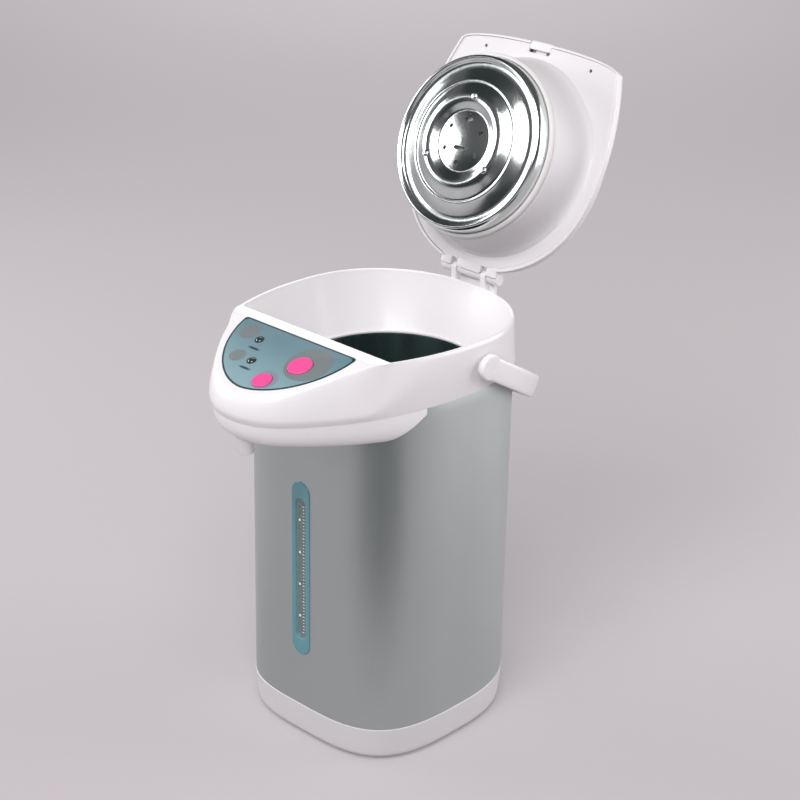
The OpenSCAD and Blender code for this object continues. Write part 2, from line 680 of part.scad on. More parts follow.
// Centres of the two buttons and the two lamps, as shares of the panel
function at_panel(p) = [p.x * panel_half_w, -p.y * panel_len];
dispense_at = at_panel([0.428, 0.4]);
reboil_at = at_panel([0.186, 0.792]);
lamps_at = [at_panel([-0.466, 0.262]), at_panel([-0.24, 0.588])];
module panel_holes(low, h) {
    for (p = [[dispense_at, dispense_r], [reboil_at, reboil_r], [lamps_at[0], lamp_r], [lamps_at[1], lamp_r]])
        translate([p[0].x, p[0].y, low]) cylinder(h = h, r = p[1] + 0.4);
}
module head_shell() {
    color(white) {
        difference() {
            skin(head_rings(0, collar_z, 7));
            difference() {
                skin(head_rings(head_wall, collar_z - 1, 5));
                mouth(head_wall, -head_wall / 2);
                for (s = [-1, 1]) scale([s, 1, 1]) translate([0, bail_y, bail_z])
                    at_x(stud_in - 6, rim_half_w + 3, 9);
            }
            mouth(0, 6);
            // Room for the jacket's neck
            translate([0, 0, collar_z - 2]) linear_extrude(tuck + 2 + fit)
                polygon(body_points(fit / 2 - neck));
            on_panel() translate([0, 0, -0.5]) linear_extrude(3) panel_shape(0.15);
            on_panel() panel_holes(-8, 12);
            for (s = [-1, 1]) scale([s, 1, 1]) translate([0, bail_y, bail_z])
                at_x(stud_in - fit, rim_half_w + 20, stud_r);
        }
        hinge_ears();
        // Bosses that the handle's ends turn on
        for (s = [-1, 1]) scale([s, 1, 1]) translate([0, bail_y, bail_z]) difference() {
            at_x(rim_half_w - 3.6, bail_x - 0.3, 9);
            at_x(stud_in - fit, rim_half_w + 20, stud_r);
        }
    }
}
// The chin's back corner is a quarter ellipse seen from the side
chin_sweep = 31;
function chin_z(y) = collar_z - chin_drop + chin_rise * (-chin_back - y);
function chin_ring(g, inset, h, rear) = let (a = -nose_reach + g + inset,
    ys = [for (i = [0 : half_n]) ease(i, a, rear)],
    zs = [for (y = ys) collar_z + (chin_z(y) - collar_z) * h])
    concat([for (i = [0 : half_n]) [max(0, low_w(ys[i], -g - inset)), ys[i], zs[i]]],
        [for (i = [half_n : -1 : 1]) [-max(0, low_w(ys[i], -g - inset)), ys[i], zs[i]]]);
module chin_skin(g, h0, h1) {
    steps = 8;
    tube_skin([for (k = [steps : -1 : 0]) let (a = 90 * k / steps)
        chin_ring(g, 0.3 + chin_round * (1 - cos(a)), h0 + (h1 - h0) * sin(a),
            -chin_back - 2 * g - chin_sweep * (1 - cos(a)))]);
}
module head_chin() {
    color(white) difference() {
        chin_skin(0, 0, 1);
        chin_skin(head_wall, -0.05, 1 - head_wall / chin_drop * 1.1);
        translate([0, 0, collar_z - 60]) linear_extrude(80) polygon(body_points(0.1));
        translate([0, spout_y, spout_tip - 5]) cylinder(h = 50, r = spout_r + 1.3 + fit);
    }
}
module control_panel() {
    color(teal) on_panel() difference() {
        translate([0, 0, -0.5]) linear_extrude(overlay_t) panel_shape();
        panel_holes(-4, 8);
    }
}
key_top = 1.4;
board_z = -board_drop;
switch_h = 4;
module key(at, r) {
    // Cap above the overlay, skirt flange under the deck, stem down to its switch
    color(pink) on_panel() translate([at.x, at.y, 0]) {
        translate([0, 0, -4]) cylinder(h = 4 + key_top, r = r);
        translate([0, 0, -4.6]) cylinder(h = 1, r = r + 1.2);
        translate([0, 0, board_z + switch_h + key_travel + 0.2]) cylinder(h = -board_z - switch_h - 4, r = 3);
    }
}
module dispense_button() { key(dispense_at, dispense_r); }
module reboil_button() { key(reboil_at, reboil_r); }
module key_switches() {
    color(dark) on_panel() for (p = [dispense_at, reboil_at]) translate([p.x, p.y, board_z]) {
        translate([-3.5, -3.5, 0]) cube([7, 7, switch_h - 1]);
        cylinder(h = switch_h, r = 2);
    }
}
module indicator_lenses() {
    color("gainsboro") on_panel() for (p = lamps_at) translate([p.x, p.y, board_z]) {
        cylinder(h = -board_z + 0.7, r = lamp_r);
    }
}
module control_board() {
    color("darkgreen") on_panel() translate([0, 0, board_z - board_t]) linear_extrude(board_t) difference() {
        panel_shape(-6);
        // Slot that clears the riser pipe
        translate([-pipe_r - 1.5, -panel_len]) square([2 * pipe_r + 3, 0.36 * panel_len]);
    }
}
// Power board on four posts behind the pump
psu_w = 0.76 * body_half_w;
psu_d = 0.4 * body_half_d;
psu_y = 8;
psu_z = pump_z + 6;
relay = [22, 17, 16];
module main_board() {
    color("darkgreen") translate([-psu_w / 2, psu_y, psu_z]) cube([psu_w, psu_d, board_t]);
    color(dark) {
        for (x = [-psu_w / 2 + 6, 0]) translate([x, psu_y + 6, psu_z + board_t]) cube(relay);
        for (x = [-psu_w / 2 + 5, psu_w / 2 - 5], y = [psu_y + 4, psu_y + psu_d - 4])
            translate([x, y, cover_z + cover_t]) cylinder(h = psu_z - cover_z - cover_t, r = 2.5);
    }
}
module power_inlet() {
    y1 = body_half_d + 0.8;
    color(dark) difference() {
        translate([-inlet_w / 2, y1 - inlet_depth, inlet_z - inlet_h / 2])
            cube([inlet_w, inlet_depth, inlet_h]);
        translate([-inlet_w / 2 + 3, y1 - inlet_depth + 6, inlet_z - inlet_h / 2 + 3])
            cube([inlet_w - 6, inlet_depth, inlet_h - 6]);
    }
    color("goldenrod") for (x = [-9, 9]) translate([x, y1 - inlet_depth + 4, inlet_z]) rotate([-90, 0, 0])
        cylinder(h = 12, r = 2);
}

// ---- Handle ---------------------------------------------------------------------------------
module handle_studs() {
    color(steel) translate([0, bail_y, bail_z]) for (s = [-1, 1]) scale([s, 1, 1])
        at_x(stud_in, bail_x + arm_t - 1.6, stud_r);
}
straight = 30;
// Outline of the bail in its own plane: straight arms, then a rounded square bow
function bow(hw, len) = concat([[hw, 0], [hw, straight]], [for (a = [6 : 6 : 90])
    [hw * pow(cos(a), 2 / 2.2), straight + (len - straight) * pow(sin(a), 2 / 2.2)]]);
function both(p) = concat(p, [for (i = [len(p) - 1 : -1 : 0]) [-p[i].x, p[i].y]]);
module handle() {
    color(white) translate([0, bail_y, bail_z]) rotate([-bail_rest, 0, 0]) difference() {
        union() {
            translate([0, 0, -arm_w / 2]) linear_extrude(arm_w) difference() {
                polygon(both(bow(bail_x + arm_t, bail_len + grip_t)));
                polygon(concat([[-bail_x, -1], [bail_x, -1]], both(bow(bail_x, bail_len))));
            }
            for (s = [-1, 1]) scale([s, 1, 1]) at_x(bail_x, bail_x + arm_t, arm_w / 2 + 1.2);
        }
        for (s = [-1, 1]) scale([s, 1, 1]) at_x(bail_x - 1, bail_x + arm_t - 1.5, stud_r + run_gap);
    }
}

// ---- Lid ------------------------------------------------------------------------------------
lid_gap = 0.6;
lid_front = panel_y + 1.2;
lid_corner = lid_front + 8.2;
lid_notch = 34;
function lid_at(y) = rim_at(y) + lid_gap;
function lid_w(y, g) = let (c = rim_w(lid_corner, -g)) y < lid_corner
    ? c * pow(max(0, 1 - pow((lid_corner - y) / (lid_corner - lid_front - g), 2.4)), 1 / 2.4) : rim_w(y, -g);
function lid_ring(g, dz) = let (ys = [for (i = [0 : half_n]) ease(i, lid_front + g, rim_rear - g)])
    ring([for (i = [0 : half_n]) i == 0 || i == half_n ? 0 : lid_w(ys[i], g)], ys,
        [for (y = ys) lid_at(y) + dz]);
function shrink(p, k, dz) = [for (q = p) [q.x * k, q.y * k, q.z + rim_rise * q.y * (1 - k) + dz]];
module dome(g, low) {
    edge = lid_ring(g, low);
    wall = lid_ring(g, 6);
    skin(concat([edge], [for (k = [0 : 8]) let (a = 86 * k / 8)
        shrink(wall, pow(cos(a), 0.75), (dome_h - 6 - g) * pow(sin(a), 0.75))]));
}
vent_y = 30;
vent_r = 15;
vent_h = 14;
latch_y = lid_front - 0.4;
latch_z = lid_at(lid_front) + 0.4;
latch_h = 6;
latch_d = 8;
stem_l = 14;
stem_z = latch_z + latch_h - 2.6;
rail_z = lid_at(latch_y) + 1.2;
module latch_slot() {
    translate([-latch_w / 2 - fit, latch_y - 2, latch_z - 8])
        cube([latch_w + 2 * fit, latch_d + latch_travel + 2.4, latch_h + 8 + fit]);
}
module lid_shell() {
    color(white) on_lid() difference() {
        dome(0.4, 0);
        dome(0.4 + lid_wall, -1);
        // Back edge cut straight for the hinge
        translate([-lid_notch, hinge_y - ear_r - 2, hinge_z - 30]) cube([2 * lid_notch, 30, 60]);
        translate([0, vent_y, hinge_z]) cylinder(h = 40, r = vent_r + fit);
        latch_slot();
    }
}
plug_top_r = liner_r + 9;
seat_depth = liner_depth - liner_side;
plate_up = 1.2;
plate_t = 2.4;
web_z = hinge_z - 8;
plug_y = hinge_y - liner_back;
// The three places where screws hold the liner
module at_screws(z) {
    for (a = [30 : 120 : 270]) translate([0, plug_y, z]) rotate(a) translate([liner_r / 2, 0, 0]) children();
}
module lid_inner() {
    color(white) on_lid() difference() {
        union() {
            difference() {
                union() {
                    skin([lid_ring(0.6 + lid_wall, plate_up), lid_ring(0.6 + lid_wall, plate_up + plate_t)]);
                    lid_turn([[0, 0.5], [plug_top_r, 0.5], [plug_top_r, 3], [liner_r + 6.5, 20],
                        [liner_r + 4.5, seat_depth - 5], [liner_r + 2.5, seat_depth - 3],
                        [0, seat_depth - 3]]);
                }
                lid_turn([[0, -9], [plug_top_r - lid_wall, -9], [plug_top_r - lid_wall, 3], [liner_r + 4, 20],
                    [liner_r + 2, seat_depth - 6], [0, seat_depth - 6]]);
                translate([-lid_notch, hinge_y - ear_r - 2, hinge_z - 30]) cube([2 * lid_notch, 30, 60]);
            }
            // Rails beside the latch's stem
            for (s = [-1, 1])
                translate([s * (latch_w / 4 + fit + 1) - 1, latch_y + latch_d + latch_travel + 0.6, rail_z]) cube([2, stem_l - latch_travel, stem_z + 2.4 - rail_z]);
            // Hinge barrel and its web, and the two outer lugs
            for (x = [[-ear_in + 0.5, ear_in - 0.5], [ear_out + 0.5, lid_notch - 1],
                [-lid_notch + 1, -ear_out - 0.5]]) {
                translate([0, hinge_y, hinge_z]) at_x(x[0], x[1], ear_r - 0.5);
                translate([x[0], hinge_y - ear_r - 5, web_z]) cube([x[1] - x[0], ear_r + 4, plate_t]);
                translate([x[0], hinge_y - ear_r - 1.5, web_z]) cube([x[1] - x[0], ear_r + 0.5, 6]);
            }
        }
        translate([0, hinge_y, hinge_z]) at_x(-50, 50, pin_r + run_gap);
        latch_slot();
        at_screws(hinge_z - seat_depth - 5) cylinder(h = 20, r = 1.5);
    }
}
bead = 1.6;
face_mid = liner_depth + 7;
screw_seat = liner_depth + 4;
module lid_liner() {
    t = 0.8;
    // Face line from the rim to the middle: rolled rim, groove, dished ring, raised centre
    face = [[liner_r, seat_depth], [liner_r, liner_depth - 4], [liner_r - 1.2, liner_depth - 1.2],
        [liner_r - 4, liner_depth], [liner_r - 6, liner_depth - bead], [liner_r - 9, liner_depth - bead],
        [liner_r - 12, liner_depth - 0.2], [liner_r - 20, liner_depth + 1.5], [liner_r * 0.56, screw_seat],
        [liner_r * 0.44, screw_seat], [liner_r * 0.42, screw_seat + 0.6], [liner_r * 0.37, face_mid],
        [0, face_mid]];
    back = [for (i = [len(face) - 1 : -1 : 0])
        [i < 2 ? face[i].x - t : face[i].x, face[i].y - (i == 0 ? 0 : t)]];
    color("lightgray") on_lid() difference() {
        lid_turn(concat(face, back));
        translate([0, plug_y, hinge_z - face_mid - 5]) {
            for (a = [-30, 30, 90, 150, 210]) rotate(a) translate([20, 0, 0]) cylinder(h = 12, r = 2.2);
            // Four-lobed hole towards the lid's front, long hole near the middle
            for (a = [0 : 90 : 270]) translate([0, -20, 0]) rotate(a) translate([2.1, 0, 0])
                cylinder(h = 12, r = 2.4);
            translate([0, 7, 0]) linear_extrude(12) {
                square([9, 3.6], center = true);
                for (d = [-4.5, 4.5]) translate([d, 0]) circle(r = 1.8);
            }
        }
        at_screws(hinge_z - face_mid - 5) cylinder(h = 20, r = 1.6);
    }
}
module lid_gasket() {
    color("wheat") on_lid() lid_turn([[liner_r, seat_depth - 2.8], [liner_r + 3.4, seat_depth - 2.8],
        [liner_r + 3.8, seat_depth], [liner_r + 2.4, seat_depth + 2], [liner_r + 0.05, seat_depth + 2]]);
}
module liner_screws() {
    color(steel) on_lid() {
        at_screws(hinge_z - screw_seat - 1.6) cylinder(h = 1.6, r = 3.2);
        at_screws(hinge_z - screw_seat - 1) cylinder(h = screw_seat - seat_depth + 7, r = 1.5);
    }
}
module steam_vent() {
    color("gainsboro") on_lid() translate([0, vent_y, lid_at(vent_y) + dome_h]) rotate([-atan(rim_rise), 0, 0])
        difference() {
            union() {
                translate([0, 0, -0.1]) cylinder(h = 1.2, r = vent_r + 2);
                translate([0, 0, -vent_h]) cylinder(h = vent_h, r = vent_r);
            }
            translate([0, 0, -vent_h - 1]) cylinder(h = vent_h - 1, r = vent_r - 2);
            for (i = [-3 : 3]) translate([4 * i - 0.9, -10, -4]) cube([1.8, 20, 10]);
        }
}
module lid_latch() {
    color(white) on_lid() {
        translate([-latch_w / 2, latch_y, latch_z]) cube([latch_w, latch_d, latch_h]);
        translate([-latch_w / 4, latch_y + latch_d - 1, stem_z]) cube([latch_w / 2, stem_l + 1, 2.4]);
    }
}
module hinge_pin() {
    color(steel) translate([0, hinge_y, hinge_z]) at_x(-lid_notch + 1, lid_notch - 1, pin_r);
}

outer_body();
base_skirt();
bottom_cover();
bottom_screws();
swivel_base();
swivel_pads();
swivel_clip();
inner_pot();
pot_ring();
pot_gasket();
heater_plate();
thermostats();
heat_shield();
pump_housing();
pump_impeller();
pump_motor();
inlet_hose();
outlet_hose();
level_tube();
level_frame();
level_lens();
riser_pipe();
spout();
head_shell();
head_chin();
control_panel();
dispense_button();
reboil_button();
key_switches();
indicator_lenses();
control_board();
main_board();
power_inlet();
handle_studs();
handle();
hinge_pin();
lid_shell();
lid_inner();
lid_liner();
lid_gasket();
liner_screws();
steam_vent();
lid_latch();
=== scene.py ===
"""Dressed model of an electric thermo pot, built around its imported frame.

Lengths are millimetres until a mesh is written; +Z is up and the nose points to -Y.
Every shape is a grid of points: rings of equal length carried along a profile.
"""

from __future__ import annotations

import logging
import math
from dataclasses import dataclass
from enum import Enum
from functools import reduce
from operator import add
from typing import Any, Callable, Iterable, Sequence

import bpy
import numpy as np
from mathutils import Matrix


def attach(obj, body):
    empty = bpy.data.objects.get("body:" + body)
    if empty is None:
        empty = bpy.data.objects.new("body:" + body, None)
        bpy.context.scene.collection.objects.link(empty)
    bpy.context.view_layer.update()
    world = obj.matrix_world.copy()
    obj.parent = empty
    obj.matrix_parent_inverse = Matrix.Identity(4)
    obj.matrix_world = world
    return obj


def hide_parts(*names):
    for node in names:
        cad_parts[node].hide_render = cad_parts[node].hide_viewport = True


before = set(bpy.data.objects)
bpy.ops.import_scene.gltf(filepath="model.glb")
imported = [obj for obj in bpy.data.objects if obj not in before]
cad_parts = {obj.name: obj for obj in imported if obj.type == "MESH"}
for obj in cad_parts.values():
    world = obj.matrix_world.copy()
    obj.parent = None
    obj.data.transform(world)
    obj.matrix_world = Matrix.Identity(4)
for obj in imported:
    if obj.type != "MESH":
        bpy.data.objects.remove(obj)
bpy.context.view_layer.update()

Array = np.ndarray
log = logging.getLogger("thermo_pot")
MM = 0.001


class Body(str, Enum):
    """The bodies that pieces ride on."""

    HOUSING = "housing"
    LID = "lid"
    LATCH = "latch"
    BAIL = "bail"
    DISPENSE = "dispense_key"
    REBOIL = "reboil_key"


# ---------------------------------------------------------------------------------------------
# Grids and meshes
# ---------------------------------------------------------------------------------------------
@dataclass
class Shell:
    """Points in millimetres with four-cornered and three-cornered faces."""

    points: Array
    quads: Array
    tris: Array

    @classmethod
    def grid(cls, rings: Array, loop: bool = False, around: bool = True) -> "Shell":
        """Closed surface through rings.

        Args:
            rings: Points of shape (rings, points on a ring, 3).
            loop: Whether the last ring joins the first one.
            around: Whether each ring's last point joins its first one.

        Returns:
            The welded shell, turned so that its faces point outwards.
        """
        m, n = rings.shape[:2]
        i, j = np.meshgrid(np.arange(m if loop else m - 1), np.arange(n if around else n - 1), indexing="ij")
        up, on = (i + 1) % m, (j + 1) % n
        faces = np.stack([i * n + j, i * n + on, up * n + on, up * n + j], -1).reshape(-1, 4)
        return cls._weld(rings.reshape(-1, 3), faces)

    @classmethod
    def _weld(cls, points: Array, faces: Array) -> "Shell":
        """Merges equal points, drops collapsed faces and turns the shell outwards.

        Args:
            points: Corner points, repeats allowed.
            faces: Four point numbers per face.

        Returns:
            The closed shell.
        """
        _, first, back = np.unique(np.round(points, 4), axis=0, return_index=True, return_inverse=True)
        points, faces = points[first], back.reshape(-1)[faces]
        same = faces == np.roll(faces, -1, axis=1)
        whole = faces[same.sum(1) == 0]
        whole = whole[(whole[:, 0] != whole[:, 2]) & (whole[:, 1] != whole[:, 3])]
        part = same.sum(1) == 1
        shell = cls(points, whole, faces[part][~same[part]].reshape(-1, 3))
        return shell if shell.volume() > 0 else shell.turned()

    def volume(self) -> float:
        """Signed volume: a sixth of the sum of the triple products of all triangles.

        Returns:
            Cubic millimetres, negative when turned inwards.
        """
        t = np.concatenate([self.quads[:, [0, 1, 2]], self.quads[:, [0, 2, 3]], self.tris])
        a, b, c = (self.points[t[:, k]] for k in range(3))
        return float(np.einsum("ij,ij->", a, np.cross(b, c)) / 6)

    def turned(self) -> "Shell":
        """The same shell with its faces turned round."""
        return Shell(self.points, self.quads[:, ::-1], self.tris[:, ::-1])

    def moved(self, place: Callable[[Array], Array]) -> "Shell":
        """The shell with its points put through a function, faces still outwards."""
        new = Shell(place(self.points), self.quads, self.tris)
        return new if new.volume() > 0 else new.turned()

    def __add__(self, other: "Shell") -> "Shell":
        """Both shells as one, this one's points first.

        Args:
            other: The shell whose points and faces follow.

        Returns:
            The joined shell; faces that touch aren't merged.
        """
        n = len(self.points)
        return Shell(np.concatenate([self.points, other.points]),
                     np.concatenate([self.quads, other.quads + n]),
                     np.concatenate([self.tris, other.tris + n]))

    def mesh(self, name: str, crease: float = 32.0) -> bpy.types.Mesh:
        """Writes the shell as a mesh in metres.

        Args:
            name: The mesh's name.
            crease: Angle in degrees above which an edge stays sharp.

        Returns:
            The mesh.
        """
        mesh = bpy.data.meshes.new(name)
        mesh.from_pydata(self.points * MM, [], [*self.quads.tolist(), *self.tris.tolist()])
        mesh.validate()
        finish_shading(mesh, crease)
        return mesh


def join(shells: Iterable[Shell]) -> Shell:
    """One shell made of several, in their order."""
    return reduce(add, shells)


def linked(name: str, data: bpy.types.ID) -> bpy.types.Object:
    """A new object at the origin, linked to the scene.

    Args:
        name: The object's name.
        data: Its mesh, light or camera.

    Returns:
        The object.
    """
    obj = bpy.data.objects.new(name, data)
    bpy.context.scene.collection.objects.link(obj)
    return obj


def powered(t: Array, power: Any) -> Array:
    """Signed power: sign(t) |t|^power."""
    return np.sign(t) * np.abs(t) ** power


def finish_shading(mesh: bpy.types.Mesh, crease: float) -> None:
    """Smooths a mesh apart from edges sharper than crease degrees.

    Args:
        mesh: Mesh to smooth.
        crease: Degrees above which an edge stays sharp.
    """
    mesh.polygons.foreach_set("use_smooth", np.ones(len(mesh.polygons), bool))
    mesh.set_sharp_from_angle(angle=math.radians(crease))
    mesh.update()


def revolve(profile: Array, centre: Sequence[float] = (0, 0, 0), around: int = 96,
            loop: bool = True) -> Shell:
    """Surface of a profile turned about the Z axis.

    Args:
        profile: Points (radius, height).
        centre: Where the axis and height zero lie.
        around: Points on the circle.
        loop: Whether the profile is closed; an open one starts and ends on the axis.

    Returns:
        The shell: (r cos a, r sin a, h) moved to the centre.
    """
    a = np.linspace(0, 2 * np.pi, around, endpoint=False)
    r, h = np.asarray(profile, float).T
    rings = np.stack([np.outer(r, np.cos(a)), np.outer(r, np.sin(a)), np.outer(h, np.ones(around))], -1)
    return Shell.grid(rings + np.asarray(centre, float), loop=loop)


def rounded(path: Sequence[Sequence[float]], times: int = 3, closed: bool = False) -> Array:
    """Corner cutting: each pass replaces a corner by points at a quarter and three quarters.

    Args:
        path: Corner points.
        times: Passes.
        closed: Whether the path is a loop.

    Returns:
        The smoother path, with its ends kept when it is open.
    """
    p = np.asarray(path, float)
    for _ in range(times):
        q = np.roll(p, -1, axis=0) if closed else p[1:]
        p0 = p if closed else p[:-1]
        cut = np.stack([0.75 * p0 + 0.25 * q, 0.25 * p0 + 0.75 * q], 1).reshape(-1, p.shape[1])
        p = cut if closed else np.concatenate([p[:1], cut, p[-1:]])
    return p


def disc_profile(radius: float, low: float, high: float, edge: float, crown: float = 0.0) -> Array:
    """Profile of a round boss: flat foot, straight side, rounded edge and crowned top.

    Args:
        radius: Outer radius.
        low: Height of the foot.
        high: Height of the top's edge.
        edge: Radius of both rounded edges.
        crown: How far the middle rises.

    Returns:
        Points (radius, height), the foot's middle first.
    """
    a = np.linspace(0, np.pi / 2, 8)
    lower = np.stack([radius - edge + edge * np.sin(a), low + edge - edge * np.cos(a)], 1)
    upper = np.stack([radius - edge + edge * np.cos(a), high - edge + edge * np.sin(a)], 1)
    r = np.linspace(radius - edge, 0, 8)[1:]
    top = np.stack([r, high + crown * (1 - (r / (radius - edge)) ** 2)], 1)
    return np.concatenate([[[0, low]], lower, upper, top])


def rounded_box(low: Sequence[float], high: Sequence[float], edge: float) -> Shell:
    """Box with rounded edges: a superellipse plan whose rings shrink at the top and bottom.

    Args:
        low: Lowest corner.
        high: Highest corner.
        edge: Radius of the edges.

    Returns:
        The closed box.
    """
    lo, hi = np.asarray(low, float), np.asarray(high, float)
    c, h = (lo + hi) / 2, (hi - lo) / 2
    around, power = 64, 0.18
    a = np.linspace(0, 2 * np.pi, around, endpoint=False)
    sx, sy = powered(np.cos(a), power), powered(np.sin(a), power)
    t = np.linspace(0, np.pi / 2, 6)
    inset = np.concatenate([edge * (1 - np.sin(t)), edge * (1 - np.cos(t))])
    z = np.concatenate([lo[2] + edge * (1 - np.cos(t)), hi[2] - edge * (1 - np.sin(t))])
    inset, z = np.concatenate([[h[:2].max()], inset, [h[:2].max()]]), np.concatenate([[z[0]], z, [z[-1]]])
    wx, wy = np.maximum(h[0] - inset, 0), np.maximum(h[1] - inset, 0)
    rings = np.stack([c[0] + np.outer(wx, sx), c[1] + np.outer(wy, sy), np.outer(z, np.ones(around))], -1)
    return Shell.grid(rings)


def prism(outline: Array, low: float, high: float) -> Shell:
    """Straight solid over a plan outline, closed by rings at its middle.

    Args:
        outline: Plan points in order.
        low: Lower height.
        high: Upper height.

    Returns:
        The closed solid.
    """
    n = len(outline)
    mid = np.repeat(outline.mean(0)[None], n, 0)
    rings = [np.column_stack([p, np.full(n, z)]) for p, z in
             ((mid, low), (outline, low), (outline, high), (mid, high))]
    return Shell.grid(np.array(rings))


def turn_x(points: Array, degrees: float, y: float, z: float) -> Array:
    """Turns points about an axis parallel to X through (y, z).

    Args:
        points: Points, in an array of any shape.
        degrees: Angle from Y towards Z.
        y: The axis' depth.
        z: The axis' height.

    Returns:
        The turned points.
    """
    a = math.radians(degrees)
    c, s = math.cos(a), math.sin(a)
    q = points - [0, y, z]
    return np.stack([q[..., 0], c * q[..., 1] - s * q[..., 2], s * q[..., 1] + c * q[..., 2]], -1) + [0, y, z]


def lying_x(points: Array) -> Array:
    """Lays a shape that was turned about Z along the X axis."""
    return points[..., [2, 0, 1]]


def drilled(radius: float, low: float, high: float) -> Array:
    """Profile of a straight round bore from low to high."""
    return np.array([(0, low), (radius, low), (radius, high), (0, high)])


class Piece:
    """One visible piece: its object, its body and its finish."""

    def __init__(self, name: str, shell: Shell, crease: float = 32.0) -> None:
        """Makes the object at the origin, with its place in its mesh."""
        self.obj = linked(name, shell.mesh(name, crease))
        self.crease = crease

    def cut(self, *tools: Shell) -> "Piece":
        """Cuts shells out of the piece with exact booleans.

        Args:
            tools: Closed shells.

        Returns:
            The piece.
        """
        for k, tool in enumerate(tools):
            cutter = linked(f"{self.obj.name}_tool_{k}", tool.mesh("tool"))
            mod = self.obj.modifiers.new("cut", "BOOLEAN")
            mod.operation = "DIFFERENCE"
            mod.solver = "EXACT"
            mod.object = cutter
            graph = bpy.context.evaluated_depsgraph_get()
            mesh = bpy.data.meshes.new_from_object(self.obj.evaluated_get(graph))
            self.obj.modifiers.clear()
            bpy.data.objects.remove(cutter)
            self.obj.data = mesh
        finish_shading(self.obj.data, self.crease)
        return self

    def dress(self, body: Body, finish: "Finish", slot: str, *nodes: str) -> "Piece":
        """Gives the piece its body and material and hides the nodes it stands for.

        Args:
            body: Body that it rides on.
            finish: Its finish.
            slot: Its slot in the record; not used.
            nodes: CAD nodes that it replaces.

        Returns:
            The piece.
        """
        self.obj.data.materials.clear()
        self.obj.data.materials.append(finish.material())
        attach(self.obj, body.value)
        if nodes:
            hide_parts(*nodes)
        log.info("piece %s on %s: %d faces", self.obj.name, body.value, len(self.obj.data.polygons))
        return self


# ---------------------------------------------------------------------------------------------
# Shader maths
# ---------------------------------------------------------------------------------------------
class Wire:
    """A socket that Python's operators act on through Math nodes."""

    def __init__(self, graph: "Graph", socket: bpy.types.NodeSocket) -> None:
        """Wraps one output socket of a graph."""
        self.graph, self.socket = graph, socket

    def _math(self, operation: str, *values: Any) -> "Wire":
        """One Math node over the given values."""
        return self.graph.node("ShaderNodeMath", {"operation": operation}, dict(enumerate(values)))

    def __add__(self, other: Any) -> "Wire":
        """Sum."""
        return self._math("ADD", self, other)

    __radd__ = __add__

    def __mul__(self, other: Any) -> "Wire":
        """Product."""
        return self._math("MULTIPLY", self, other)

    __rmul__ = __mul__

    def __sub__(self, other: Any) -> "Wire":
        """Difference, this value first."""
        return self._math("SUBTRACT", self, other)

    def __rsub__(self, other: Any) -> "Wire":
        """Difference, the other value first."""
        return self._math("SUBTRACT", other, self)

    def __truediv__(self, other: Any) -> "Wire":
        """Quotient, this value on top."""
        return self._math("DIVIDE", self, other)

    def __rtruediv__(self, other: Any) -> "Wire":
        """Quotient, the other value on top."""
        return self._math("DIVIDE", other, self)

    def __pow__(self, other: Any) -> "Wire":
        """Power."""
        return self._math("POWER", self, other)

    def __abs__(self) -> "Wire":
        """Size without its sign."""
        return self._math("ABSOLUTE", self)

    def __neg__(self) -> "Wire":
        """The value times minus one."""
        return self._math("MULTIPLY", self, -1.0)

    def larger(self, other: Any) -> "Wire":
        """The larger of two values."""
        return self._math("MAXIMUM", self, other)

    def smaller(self, other: Any) -> "Wire":
        """The smaller of two values."""
        return self._math("MINIMUM", self, other)

    def step(self, low: float, high: float) -> "Wire":
        """Soft step: 0 below low, 1 above high, smooth between."""
        return self.graph.node("ShaderNodeMapRange", {"interpolation_type": "SMOOTHSTEP"},
                               {"Value": self, "From Min": low, "From Max": high})


Tint = tuple[float, float, float]


